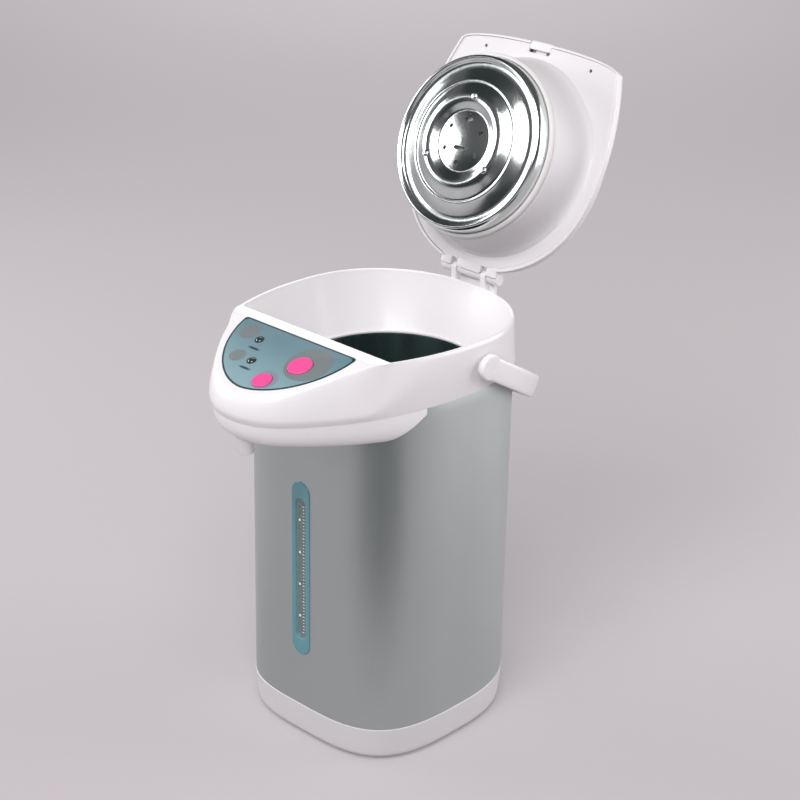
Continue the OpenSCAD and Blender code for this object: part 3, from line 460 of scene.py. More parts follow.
class Graph:
    """The node tree of one material."""

    def __init__(self, name: str) -> None:
        """Makes an empty material with its output.

        Args:
            name: The material's name.
        """
        self.material = bpy.data.materials.new(name)
        self.material.use_nodes = True
        self.tree = self.material.node_tree
        self.tree.nodes.clear()
        self.output = self.tree.nodes.new("ShaderNodeOutputMaterial")

    def node(self, kind: str, settings: dict[str, Any] | None = None,
             inputs: dict[Any, Any] | None = None, out: int | str = 0) -> Wire:
        """Adds any node.

        Args:
            kind: The node's type.
            settings: Properties set before the inputs; "stops" fills a colour ramp.
            inputs: Values or wires by socket name or number.
            out: The output that is wrapped.

        Returns:
            The wrapped output.
        """
        new = self.tree.nodes.new(kind)
        for key, value in (settings or {}).items():
            if key == "stops":
                ramp = new.color_ramp
                while len(ramp.elements) < len(value):
                    ramp.elements.new(0.5)
                for element, (place, tint) in zip(ramp.elements, value):
                    element.position, element.color = place, (*tint, 1.0)
            else:
                setattr(new, key, value)
        for key, value in (inputs or {}).items():
            if isinstance(value, Wire):
                self.tree.links.new(value.socket, new.inputs[key])
            elif isinstance(value, tuple) and len(value) == 3 and new.inputs[key].type == "RGBA":
                new.inputs[key].default_value = (*value, 1.0)
            else:
                new.inputs[key].default_value = value
        return Wire(self, new.outputs[out])

    def place(self, scale: Sequence[float] = (1, 1, 1), shift: Sequence[float] = (0, 0, 0),
              turn: Sequence[float] = (0, 0, 0)) -> Wire:
        """Object coordinates through a Mapping node.

        Args:
            scale: The mapping's factors.
            shift: Its move.
            turn: Its angles in radians.

        Returns:
            The mapped coordinates.
        """
        at = self.node("ShaderNodeTexCoord", out="Object")
        return self.node("ShaderNodeMapping", {}, {"Vector": at, "Scale": tuple(scale),
                                                    "Location": tuple(shift), "Rotation": tuple(turn)})

    def axes(self, at: Wire) -> tuple[Wire, Wire, Wire]:
        """The three parts of a vector.

        Args:
            at: The vector.

        Returns:
            Its x, y and z.
        """
        part = self.node("ShaderNodeSeparateXYZ", {}, {0: at})
        outs = part.socket.node.outputs
        return tuple(Wire(self, outs[k]) for k in range(3))

    def noise(self, scale: float, detail: float = 3.0, at: Wire | None = None) -> Wire:
        """Noise between 0 and 1; scale counts waves per metre."""
        return self.node("ShaderNodeTexNoise", {},
                         {"Vector": at or self.place(), "Scale": scale, "Detail": detail})

    def mix(self, share: Any, first: Any, second: Any) -> Wire:
        """Colour mix: first at share 0, second at share 1."""
        return self.node("ShaderNodeMix", {"data_type": "RGBA"}, {0: share, 6: first, 7: second}, out=2)

    def bump(self, height: Wire, depth: float, strength: float = 1.0) -> Wire:
        """Bump of a height between 0 and 1; depth is in metres."""
        return self.node("ShaderNodeBump", {}, {"Height": height, "Distance": depth, "Strength": strength})

    def skin(self, **inputs: Any) -> bpy.types.Material:
        """Closes the graph with a Principled shader; names use _ for blanks.

        Args:
            inputs: Input names and values.

        Returns:
            The material.
        """
        named = {key.replace("_", " "): value for key, value in inputs.items()}
        shader = self.node("ShaderNodeBsdfPrincipled", {}, named, out="BSDF")
        self.tree.links.new(shader.socket, self.output.inputs["Surface"])
        return self.material


@dataclass(frozen=True)
class Finish:
    """A finish that makes its material once and shares it."""

    name: str

    def material(self) -> bpy.types.Material:
        """The material, built on first use."""
        own = f"look_{self.name}"
        return bpy.data.materials.get(own) or self.build(Graph(own))

    def build(self, g: Graph) -> bpy.types.Material:
        """Fills the graph; each finish has its own."""
        raise NotImplementedError


@dataclass(frozen=True)
class SatinSteel(Finish):
    """Fine satin metallic coat with a soft grain and faint upright streaks."""

    tint: Tint = (0.56, 0.605, 0.597)
    rough: float = 0.41

    def build(self, g: Graph) -> bpy.types.Material:
        """Streaks are noise drawn out along Z; the grain is a very fine bump.

        Args:
            g: The material's graph.

        Returns:
            The material.
        """
        streak = g.noise(1.0, 4.0, g.place(scale=(900, 900, 4)))
        cloud = g.noise(9.0, 2.0)
        grain = g.noise(5200.0, 2.0)
        tone = streak * 0.35 + cloud * 0.65
        dark = tuple(0.94 * c for c in self.tint)
        light = tuple(min(1.0, 1.05 * c) for c in self.tint)
        return g.skin(Base_Color=g.mix(tone, dark, light), Metallic=1.0,
                      Roughness=self.rough + (streak - 0.5) * 0.08 + (cloud - 0.5) * 0.05,
                      Normal=g.bump(grain, 0.00001, 0.5))


@dataclass(frozen=True)
class Moulded(Finish):
    """Moulded plastic: faint clouding of the tone, slight orange peel and fine grain."""

    tint: Tint = (0.8, 0.79, 0.8)
    rough: float = 0.3
    coat: float = 0.25
    grain: float = 0.000012

    def build(self, g: Graph) -> bpy.types.Material:
        """Tone and roughness follow a broad noise; two noises make the bump.

        Args:
            g: The material's graph.

        Returns:
            The material.
        """
        cloud = g.noise(14.0, 3.0)
        peel = g.noise(240.0, 2.0)
        fine = g.noise(3600.0, 2.0)
        dark = tuple(0.975 * c for c in self.tint)
        return g.skin(Base_Color=g.mix(cloud * 0.4 + fine * 0.6, dark, self.tint),
                      Roughness=self.rough + (fine - 0.5) * 0.08 + (cloud - 0.5) * 0.03,
                      Coat_Weight=self.coat, Coat_Roughness=0.12,
                      Normal=g.bump(peel * 0.6 + fine * 0.4, self.grain, 0.6))


@dataclass(frozen=True)
class Polished(Finish):
    """Deep drawn or turned metal: a near mirror with a very fine grain."""

    tint: Tint = (0.74, 0.785, 0.78)
    rough: float = 0.13
    fineness: float = 420.0

    def build(self, g: Graph) -> bpy.types.Material:
        """A fine noise makes the grain; a broad noise clouds the shine.

        Args:
            g: The material's graph.

        Returns:
            The material.
        """
        grain = g.noise(self.fineness, 2.0)
        cloud = g.noise(22.0, 3.0)
        dark = tuple(0.93 * c for c in self.tint)
        return g.skin(Base_Color=g.mix(cloud, dark, self.tint), Metallic=1.0,
                      Roughness=self.rough + cloud * 0.05 + grain * 0.03,
                      Normal=g.bump(grain, 0.000006, 0.35))


@dataclass(frozen=True)
class Rubbery(Finish):
    """Silicone or rubber: dull, slightly speckled."""

    tint: Tint = (0.75, 0.7, 0.6)
    rough: float = 0.6

    def build(self, g: Graph) -> bpy.types.Material:
        """Speckle in tone and a soft bump.

        Args:
            g: The material's graph.

        Returns:
            The material.
        """
        speck = g.noise(900.0, 3.0)
        cloud = g.noise(30.0, 2.0)
        dark = tuple(0.88 * c for c in self.tint)
        return g.skin(Base_Color=g.mix(speck * 0.5 + cloud * 0.5, dark, self.tint),
                      Roughness=self.rough + (speck - 0.5) * 0.12, Normal=g.bump(speck, 0.00003, 0.5))


@dataclass(frozen=True)
class PotCoating(Finish):
    """Dark baked coat of the water pot, speckled, with a soft shine."""

    def build(self, g: Graph) -> bpy.types.Material:
        """Speckles come from a fine noise through a narrow step.

        Args:
            g: The material's graph.

        Returns:
            The material.
        """
        speck = g.noise(1500.0, 2.0).step(0.58, 0.66)
        cloud = g.noise(1.0, 2.0, g.place(scale=(26, 26, 2)))
        base = g.mix(cloud.step(0.35, 0.65), (0.016, 0.032, 0.031), (0.045, 0.075, 0.073))
        return g.skin(Base_Color=g.mix(speck * 0.5, base, (0.06, 0.08, 0.075)), Metallic=0.35,
                      Roughness=0.22 + cloud * 0.12, Coat_Weight=0.3, Normal=g.bump(speck, 0.00001, 0.4))


@dataclass(frozen=True)
class Glassy(Finish):
    """Clear or tinted window material, a little frosted by fine scratches."""

    tint: Tint = (0.8, 0.86, 0.85)
    alpha: float = 0.35

    def build(self, g: Graph) -> bpy.types.Material:
        """Scratches raise the roughness in streaks.

        Args:
            g: The material's graph.

        Returns:
            The material.
        """
        scratch = g.noise(1.0, 3.0, g.place(scale=(700, 700, 30)))
        return g.skin(Base_Color=g.mix(scratch, tuple(0.92 * c for c in self.tint), self.tint),
                      Roughness=0.08 + scratch * 0.1, Alpha=self.alpha, Coat_Weight=0.5)


@dataclass(frozen=True)
class Board(Finish):
    """Circuit board: green lacquer over copper tracks and tinned dots."""

    def build(self, g: Graph) -> bpy.types.Material:
        """Tracks are a brick pattern, dots a cell pattern.

        Args:
            g: The material's graph.

        Returns:
            The material.
        """
        brick = g.node("ShaderNodeTexBrick", {"offset": 0.5},
                       {"Vector": g.place(), "Scale": 210.0, "Mortar Size": 0.06}, out="Fac")
        cell = g.node("ShaderNodeTexVoronoi", {}, {"Vector": g.place(), "Scale": 260.0}, out="Distance")
        dots = 1 - cell.step(0.12, 0.18)
        base = g.mix(brick, (0.012, 0.07, 0.03), (0.03, 0.13, 0.05))
        return g.skin(Base_Color=g.mix(dots, base, (0.55, 0.55, 0.52)), Metallic=dots * 0.8, Roughness=0.38,
                      Normal=g.bump(brick, 0.00003, 0.5))


@dataclass(frozen=True)
class Floor(Finish):
    """Seamless pale sweep: a plain matte sheet, a little lighter to the camera."""

    tint: Tint = (0.56, 0.527, 0.546)
    seen: float = 0.38

    def build(self, g: Graph) -> bpy.types.Material:
        """The sheet is matte; camera, glossy and transmitted rays add a share of plain glow, more far out.

        Args:
            g: The material's graph.

        Returns:
            The material.
        """
        paper = g.noise(60.0, 3.0)
        matte = g.node("ShaderNodeBsdfDiffuse", {}, {
            "Color": g.mix(paper, tuple(0.985 * c for c in self.tint), self.tint), "Roughness": 0.9},
            out="BSDF")
        glow = g.node("ShaderNodeEmission", {}, {"Color": self.tint, "Strength": 1.0}, out="Emission")
        path = g.node("ShaderNodeLightPath", out="Is Camera Ray")
        outs = path.socket.node.outputs
        seen = (path + Wire(g, outs["Is Glossy Ray"]) + Wire(g, outs["Is Transmission Ray"])).smaller(1.0)
        x, y, _ = g.axes(g.place())
        far = ((x ** 2.0 + y ** 2.0) ** 0.5).step(3.4, 7.5)
        share = seen * (self.seen + far * (1 - self.seen))
        both = g.node("ShaderNodeMixShader", {}, {0: share, 1: matte, 2: glow}, out="Shader")
        g.tree.links.new(both.socket, g.output.inputs["Surface"])
        return g.material


@dataclass(frozen=True)
class Flag(Finish):
    """Dark cloth of the cards."""

    def build(self, g: Graph) -> bpy.types.Material:
        """Woven cloth: a fine noise between two dark tones."""
        dark, light = (0.02, 0.03, 0.03), (0.035, 0.05, 0.05)
        return g.skin(Base_Color=g.mix(g.noise(300.0), dark, light), Roughness=1.0)


# ---------------------------------------------------------------------------------------------
# Sizes and outlines shared by the sub-assemblies
# ---------------------------------------------------------------------------------------------
def smooth(t: Array) -> Array:
    """Smooth step from 0 to 1: t squared times (3 - 2 t)."""
    u = np.clip(t, 0, 1)
    return u * u * (3 - 2 * u)


def oval(y: Array, half_w: float | Array, half_d: float | Array, front: float, rear: float) -> Array:
    """Half width of a superellipse at depth y: w (1 - |y/d|^n)^(1/n).

    Args:
        y: Depths.
        half_w: Half width at depth 0.
        half_d: Half depth.
        front: Power n in front.
        rear: Power n behind.

    Returns:
        Half width at each depth.
    """
    n = np.where(y < 0, front, rear)
    t = np.minimum(1, np.abs(y) / half_d)
    return half_w * np.maximum(0, 1 - t**n) ** (1 / n)


@dataclass(frozen=True)
class Sizes:
    """Named sizes of the pot, the same as those of its solids."""

    body_w: float = 100.0
    body_d: float = 108.0
    front_n: float = 3.35
    rear_n: float = 2.38
    steel_t: float = 0.8
    steel_bottom: float = 33.5
    collar_z: float = 341.0
    tuck: float = 6.0
    neck: float = 1.4
    head_lip: float = 1.5
    head_h: float = 47.2
    rim_rise: float = 0.03
    rim_out: float = 5.4
    rim_in: float = 3.0
    crest: float = 1.7
    nose_reach: float = 187.0
    nose_r: float = 56.3
    nose_bulge: float = 3.8
    wall: float = 2.4
    side_y: float = -10.0
    pot_r: float = 81.0
    ridge_gap: float = 11.5
    band: float = 14.9
    slope: float = 18.5
    panel_w: float = 66.3
    panel_brow: float = 8.7
    deck_border: float = 3.3
    hinge_y: float = 107.0
    lid_open: float = 114.0
    bail_y: float = 7.5
    bail_z: float = 364.0
    seam_out: float = 1.5
    deck_over: float = 9.7

    @property
    def head_side(self) -> float:
        """Half width of the head at the parting line."""
        return self.body_w + self.head_lip

    @property
    def rim_z(self) -> float:
        """Height of the rim at the middle."""
        return self.collar_z + self.head_h

    @property
    def rim_w_mid(self) -> float:
        """Half width of the rim."""
        return self.head_side + self.rim_out

    @property
    def rim_rear(self) -> float:
        """Depth of the rim's back."""
        return self.body_d - self.rim_in

    @property
    def ridge_y(self) -> float:
        """Depth of the ridge in front of the pot."""
        return -self.pot_r - self.ridge_gap

    @property
    def panel_y(self) -> float:
        """Depth of the panel's straight edge."""
        return self.ridge_y - self.band

    @property
    def panel_z(self) -> float:
        """Height of the panel's straight edge."""
        return self.rim_z - self.rim_rise * self.panel_y

    @property
    def panel_len(self) -> float:
        """Length of the panel down its slope."""
        return (self.nose_reach - self.panel_brow + self.panel_y) / math.cos(math.radians(self.slope))

    @property
    def hinge_z(self) -> float:
        """Height of the lid's hinge axis."""
        return self.rim_at(self.rim_rear) + 9.95

    def rim_at(self, y: Any) -> Any:
        """Height of the rim's plane at depth y."""
        return self.rim_z - self.rim_rise * y

    def body(self, grow: float = 0.0, scale: float = 1.0, count: int = 480) -> Array:
        """Plan outline of the body.

        Args:
            grow: Millimetres added to both half sizes.
            scale: Factor on the whole outline.
            count: Points.

        Returns:
            Points (x, y): x = w sign(c)|c|^(2/n), y = d sign(s)|s|^(2/n).
        """
        a = np.linspace(0, 2 * np.pi, count, endpoint=False)
        p = 2 / np.where(np.sin(a) < 0, self.front_n, self.rear_n)
        x = (self.body_w + grow) * powered(np.cos(a), p)
        y = (self.body_d + grow) * powered(np.sin(a), p)
        return scale * np.stack([x, y], 1)

    def nose_w(self, y: Array, o: Any) -> Array:
        """Half width of the nose: a small circle running on into two long arcs, grown by o.

        Args:
            y: Depths.
            o: How far the outline is grown.

        Returns:
            Half width at each depth.
        """
        t = self.side_y + self.nose_reach
        w, r = self.head_side, self.nose_r
        long_r = (w * w + (t - r) ** 2 - r * r) / (2 * (w - r))
        centre = -self.nose_reach + r
        meet = self.side_y + (centre - self.side_y) * long_r / (long_r - r)
        bound = centre + (meet - centre) * (r + o) / r
        tip = np.sqrt(np.maximum(0, (r + o) ** 2 - (y - centre) ** 2))
        side = w - long_r + np.sqrt(np.maximum(0, (long_r + o) ** 2 - (y - self.side_y) ** 2))
        return np.where(y < bound, tip, side)

    def low_w(self, y: Array, o: Any = 0.0) -> Array:
        """Half width of the head at the parting line, grown by o."""
        rear = oval(np.maximum(y, 0), self.head_side + o, self.body_d + self.head_lip + o, 2, self.rear_n)
        return np.where(y < self.side_y, self.nose_w(y, o), rear)

    def rim_w(self, y: Array, o: Any = 0.0) -> Array:
        """Half width of the head at the rim, grown by o."""
        rear = oval(np.maximum(y, 0), self.rim_w_mid + o, self.rim_rear + o, 2, 2.15)
        return np.where(y < self.side_y, self.nose_w(y, self.rim_out + o), rear)

    def on_panel(self, points: Array) -> Array:
        """Takes panel coordinates (across, up the slope, out of it) to the pot's."""
        return turn_x(points + [0, self.panel_y, self.panel_z], self.slope, self.panel_y, self.panel_z)

    def on_lid(self, points: Array) -> Array:
        """Swings a point of the closed lid open about the hinge."""
        return turn_x(points, -self.lid_open, self.hinge_y, self.hinge_z)


S = Sizes()


def on_hinge(points: Array) -> Array:
    """Lays a turned shape along the lid's hinge axis."""
    return lying_x(points) + [0, S.hinge_y, S.hinge_z]


def outline_ring(outline: Array, z: Any) -> Array:
    """A level ring over a plan outline."""
    return np.column_stack([outline, np.broadcast_to(z, len(outline))])


def stadium(width: float, low: float, high: float, count: int = 64) -> Array:
    """Upright stadium as points (x, z), counted round from its right side.

    Args:
        width: Full width.
        low: Lowest height.
        high: Highest height.
        count: Number of points.

    Returns:
        The points.
    """
    a = np.linspace(0, 2 * np.pi, count, endpoint=False)
    r = width / 2
    mid = np.where(np.sin(a) >= 0, high - r, low + r)
    return np.stack([r * np.cos(a), mid + r * np.sin(a)], 1)


# ---------------------------------------------------------------------------------------------
# Finishes of this pot
# ---------------------------------------------------------------------------------------------
WHITE = Moulded("gloss_white", (0.885, 0.865, 0.877), 0.3, 0.25)
WHITE_MATTE = Moulded("white_matte", (0.84, 0.822, 0.833), 0.45, 0.1)
# Darker copy of the gloss white for the lid, its lugs, pin and latch: painted shade on the same plastic as
# the head.
WHITE_LID_PAINTED_SHADE = Moulded("white_lid_painted_shade", (0.78, 0.762, 0.776), 0.36, 0.15)
# Darker copy of the white for the lid's inner moulding and latch pocket: painted shade on the same plastic.
WHITE_INNER_PAINTED_SHADE = Moulded("white_inner_painted_shade", (0.74, 0.722, 0.736), 0.46, 0.08)
# Darker copy of the gloss white for the base skirt: painted shade where it sits low by the floor.
WHITE_SKIRT_PAINTED_SHADE = Moulded("white_skirt_painted_shade", (0.76, 0.742, 0.757), 0.34, 0.2)
LAMP = Moulded("lamp_dome", (0.03, 0.045, 0.05), 0.1, 1.0)
SEAL = Rubbery("lid_seal", (0.80, 0.775, 0.77), 0.5)
DARK = Moulded("dark_plastic", (0.03, 0.034, 0.036), 0.4, 0.1)
TEAL = Moulded("teal_plastic", (0.11, 0.29, 0.335), 0.3, 0.4)
PINK = Moulded("pink_plastic", (0.85, 0.085, 0.32), 0.42, 0.15)
BODY_STEEL = SatinSteel("body_steel")
MIRROR = Polished("mirror_steel")
BRIGHT = Polished("bright_steel", (0.7, 0.71, 0.71), 0.2, 900.0)
HEATER = SatinSteel("heater_alloy", (0.45, 0.45, 0.44), 0.55)
SHIELD = SatinSteel("shield_alloy", (0.55, 0.56, 0.56), 0.35)
CREAM = Rubbery("seal_rubber", (0.78, 0.72, 0.64), 0.5)
PADS = Rubbery("pad_rubber", (0.05, 0.05, 0.05), 0.7)
COATING = PotCoating("pot_coating")
CLEAR = Glassy("clear_tube", (0.45, 0.55, 0.55), 0.2)
LENS = Glassy("lens_plastic", (0.4, 0.5, 0.5), 0.25)
# Dark grey of the sheet behind the gauge slot: painted shade.
SLOT_PAINTED_SHADE = Moulded("slot_painted_shade", (0.07, 0.1, 0.1), 0.4, 0.1)
GREEN = Board("board_green")


@dataclass
class Foot:
    """Skirt round the foot of the body."""

    bottom: float = 4.0
    draft: float = 0.98
    lip: float = 0.5
    wall: float = 2.6
    spigot: float = 7.0

    def build(self) -> None:
        """The skirt's section, carried round the body's outline."""
        top = S.steel_bottom
        t = np.linspace(0, 1, 16)
        side = [(self.draft + (1 - self.draft) * k, self.lip * k, self.bottom + (top - self.bottom) * k)
                for k in 0.1 + 0.86 * t]
        corner = [(self.draft, -2.6, self.bottom), (self.draft, -1.6, self.bottom),
                  (self.draft, -0.7, self.bottom + 0.3), (self.draft + 0.0004, -0.15, self.bottom + 1.1)]
        lip = [(1.0, self.lip - 0.15, top - 0.35), (1.0, self.lip - 0.6, top), (1.0, 0.0, top),
               (1.0, -1.0, top)]
        spigot = [(1.0, -S.steel_t - 0.2, top), (1.0, -S.steel_t - 0.2, top + self.spigot),
                  (1.0, -S.steel_t - 2.2, top + self.spigot), (1.0, -S.steel_t - 2.2, top - 4)]
        inside = [(1.0, -self.wall, top - 6), (self.draft, -self.wall, self.bottom + 1)]
        loop = corner + side + lip + spigot + inside
        rings = np.array([outline_ring(S.body(g, k), z) for k, g, z in loop])
        Piece("base_skirt", Shell.grid(rings, loop=True)).dress(
            Body.HOUSING, WHITE_SKIRT_PAINTED_SHADE, "white_gloss", "base_skirt")


@dataclass
class Jacket:
    """Steel jacket with its window and inlet openings."""

    inlet_w: float = 44.0
    inlet_h: float = 26.0
    inlet_z: float = 62.0

    def build(self) -> None:
        """Jacket section: straight side, bent shoulder and neck, then the inside back down."""
        z = S.collar_z
        up = [(0.0, h) for h in np.linspace(S.steel_bottom, z - 1.2, 30)]
        shoulder = [(-0.12, z - 0.5), (-0.5, z - 0.1), (-S.neck + 0.2, z)]
        neck = [(-S.neck, z + 0.4), (-S.neck, z + S.tuck), (-S.neck - S.steel_t, z + S.tuck),
                (-S.neck - S.steel_t, z - S.steel_t), (-S.steel_t, z - 1.6)]
        down = [(-S.steel_t, h) for h in np.linspace(z - 2.5, S.steel_bottom, 12)]
        rings = np.array([outline_ring(S.body(g), h) for g, h in up + shoulder + neck + down])
        gauge = Gauge()
        window = stadium(gauge.width + 0.2, gauge.low - 0.1, gauge.high + 0.1)
        hole = self.upright(window, -S.body_d - 4, -80.0)
        corners = np.array([[-1, -1], [1, -1], [1, 1], [-1, 1]])
        box = corners * [self.inlet_w / 2 + 0.1, self.inlet_h / 2 + 0.1]
        back = self.upright(box + [0, self.inlet_z], 70.0, S.body_d + 4)
        Piece("outer_body", Shell.grid(rings, loop=True)).cut(hole, back).dress(
            Body.HOUSING, BODY_STEEL, "body_steel", "outer_body")

    @staticmethod
    def upright(outline: Array, y0: float, y1: float) -> Shell:
        """Prism over an outline (x, z), from depth y0 to y1."""
        return prism(outline, y0, y1).moved(lambda p: p[:, [0, 2, 1]])


@dataclass
class Gauge:
    """Level window: crowned frame, scale, clear lens, tube and a dark sheet of painted shade behind the slot.
    """

    width: float = 22.0
    low: float = 86.0
    high: float = 257.0
    slot_w: float = 10.0
    margin: float = 17.0
    proud: float = 0.8
    tube_r: float = 5.0

    def ring(self, inset: float, out: float) -> Array:
        """Stadium ring set in from the frame's edge, out millimetres in front of the jacket."""
        p = stadium(self.width - 2 * inset, self.low + inset, self.high - inset, 96)
        return np.column_stack([p[:, 0], np.full(len(p), -S.body_d - out), p[:, 1]])

    def slot(self, grow: float, out: float) -> Array:
        """Ring round the gauge slot."""
        p = stadium(self.slot_w + 2 * grow, self.low + self.margin - grow, self.high - self.margin + grow, 96)
        return np.column_stack([p[:, 0], np.full(len(p), -S.body_d - out), p[:, 1]])

    def build(self) -> None:
        """Frame section from its back flange over the crown and down into the slot."""
        rings = [self.ring(-3, -1.2), self.ring(-3, -1.0), self.ring(0, -1.0), self.ring(0, 0.2),
                 self.ring(0.15, 0.55), self.ring(0.5, 0.75), self.ring(1.2, self.proud),
                 self.slot(1.6, self.proud - 0.05),
                 self.slot(1.1, 0.6), self.slot(0.7, 0.1), self.slot(0.6, -0.6), self.slot(0.0, -0.7),
                 self.slot(0.0, -4.0), self.ring(-3, -4.0)]
        frame_piece = Piece("level_frame", Shell.grid(np.array(rings), loop=True), 40)
        frame_piece.dress(Body.HOUSING, TEAL, "teal_plastic", "level_frame")
        self.marks()
        glass = [self.spine(0.25), self.slot(0.45, -0.02), self.slot(0.6, -0.1), self.slot(0.6, -0.45),
                 self.spine(-0.45)]
        Piece("level_lens", Shell.grid(np.array(glass))).dress(
            Body.HOUSING, CLEAR, "clear_tube", "level_lens")
        tube_y = -S.body_d + self.tube_r + 5.5
        low, high = self.low - 15, S.collar_z - 18
        bore = [(self.tube_r, low), (self.tube_r, high), (self.tube_r - 1.5, high), (self.tube_r - 1.5, low)]
        Piece("level_tube", revolve(np.array(bore), (0, tube_y, 0), 48)).dress(
            Body.HOUSING, LENS, "clear_tube", "level_tube")
        # Dark sheet just behind the lens, in front of the tube: painted shade for the dark inside seen
        # through the slot, not a part of the pot.
        back = prism(stadium(self.slot_w + 1, self.low + self.margin, self.high - self.margin), 0, 0.6)
        back = back.moved(lambda p: np.stack([p[:, 0], -S.body_d + 2.4 + p[:, 2], p[:, 1]], 1))
        Piece("slot_shade_sheet", back).dress(Body.HOUSING, SLOT_PAINTED_SHADE, "dark_plastic")

    def spine(self, out: float) -> Array:
        """Middle line of the slot, walked like its outline, so that rings close on it.

        Args:
            out: Millimetres in front of the jacket.

        Returns:
            Ring points.
        """
        p = self.slot(0.0, out)
        r = self.slot_w / 2
        return np.column_stack([0 * p[:, 0], p[:, 1], np.clip(p[:, 2], self.low + self.margin + r,
                                                               self.high - self.margin - r)])

    def marks(self) -> None:
        """Scale ticks along the slot's right side and four round level dots."""
        inner_low, inner_high = self.low + self.margin + 6, self.high - self.margin - 6
        right, half_t = 4.4, 0.28
        bars = []
        for k, z in enumerate(np.linspace(inner_low, inner_high, 41)):
            long = 2.6 if k % 5 == 0 else 1.7
            bars.append(rounded_box((right - long, -S.body_d - 0.02 - 0.3, z - half_t),
                                    (right, -S.body_d + 0.05, z + half_t), 0.12))
        Piece("scale_ticks", join(bars)).dress(Body.HOUSING, WHITE_MATTE, "white_matte")
        dot = revolve(disc_profile(1.3, 0, 0.5, 0.3), around=24, loop=False)
        dots = [dot.moved(lambda p, z=z: np.stack([p[:, 0] - 1.2, -S.body_d + 0.1 - p[:, 2], p[:, 1] + z], 1))
                for z in np.linspace(inner_low + 16, inner_high - 14, 4)]
        Piece("level_dots", join(dots)).dress(Body.HOUSING, WHITE, "white_gloss")


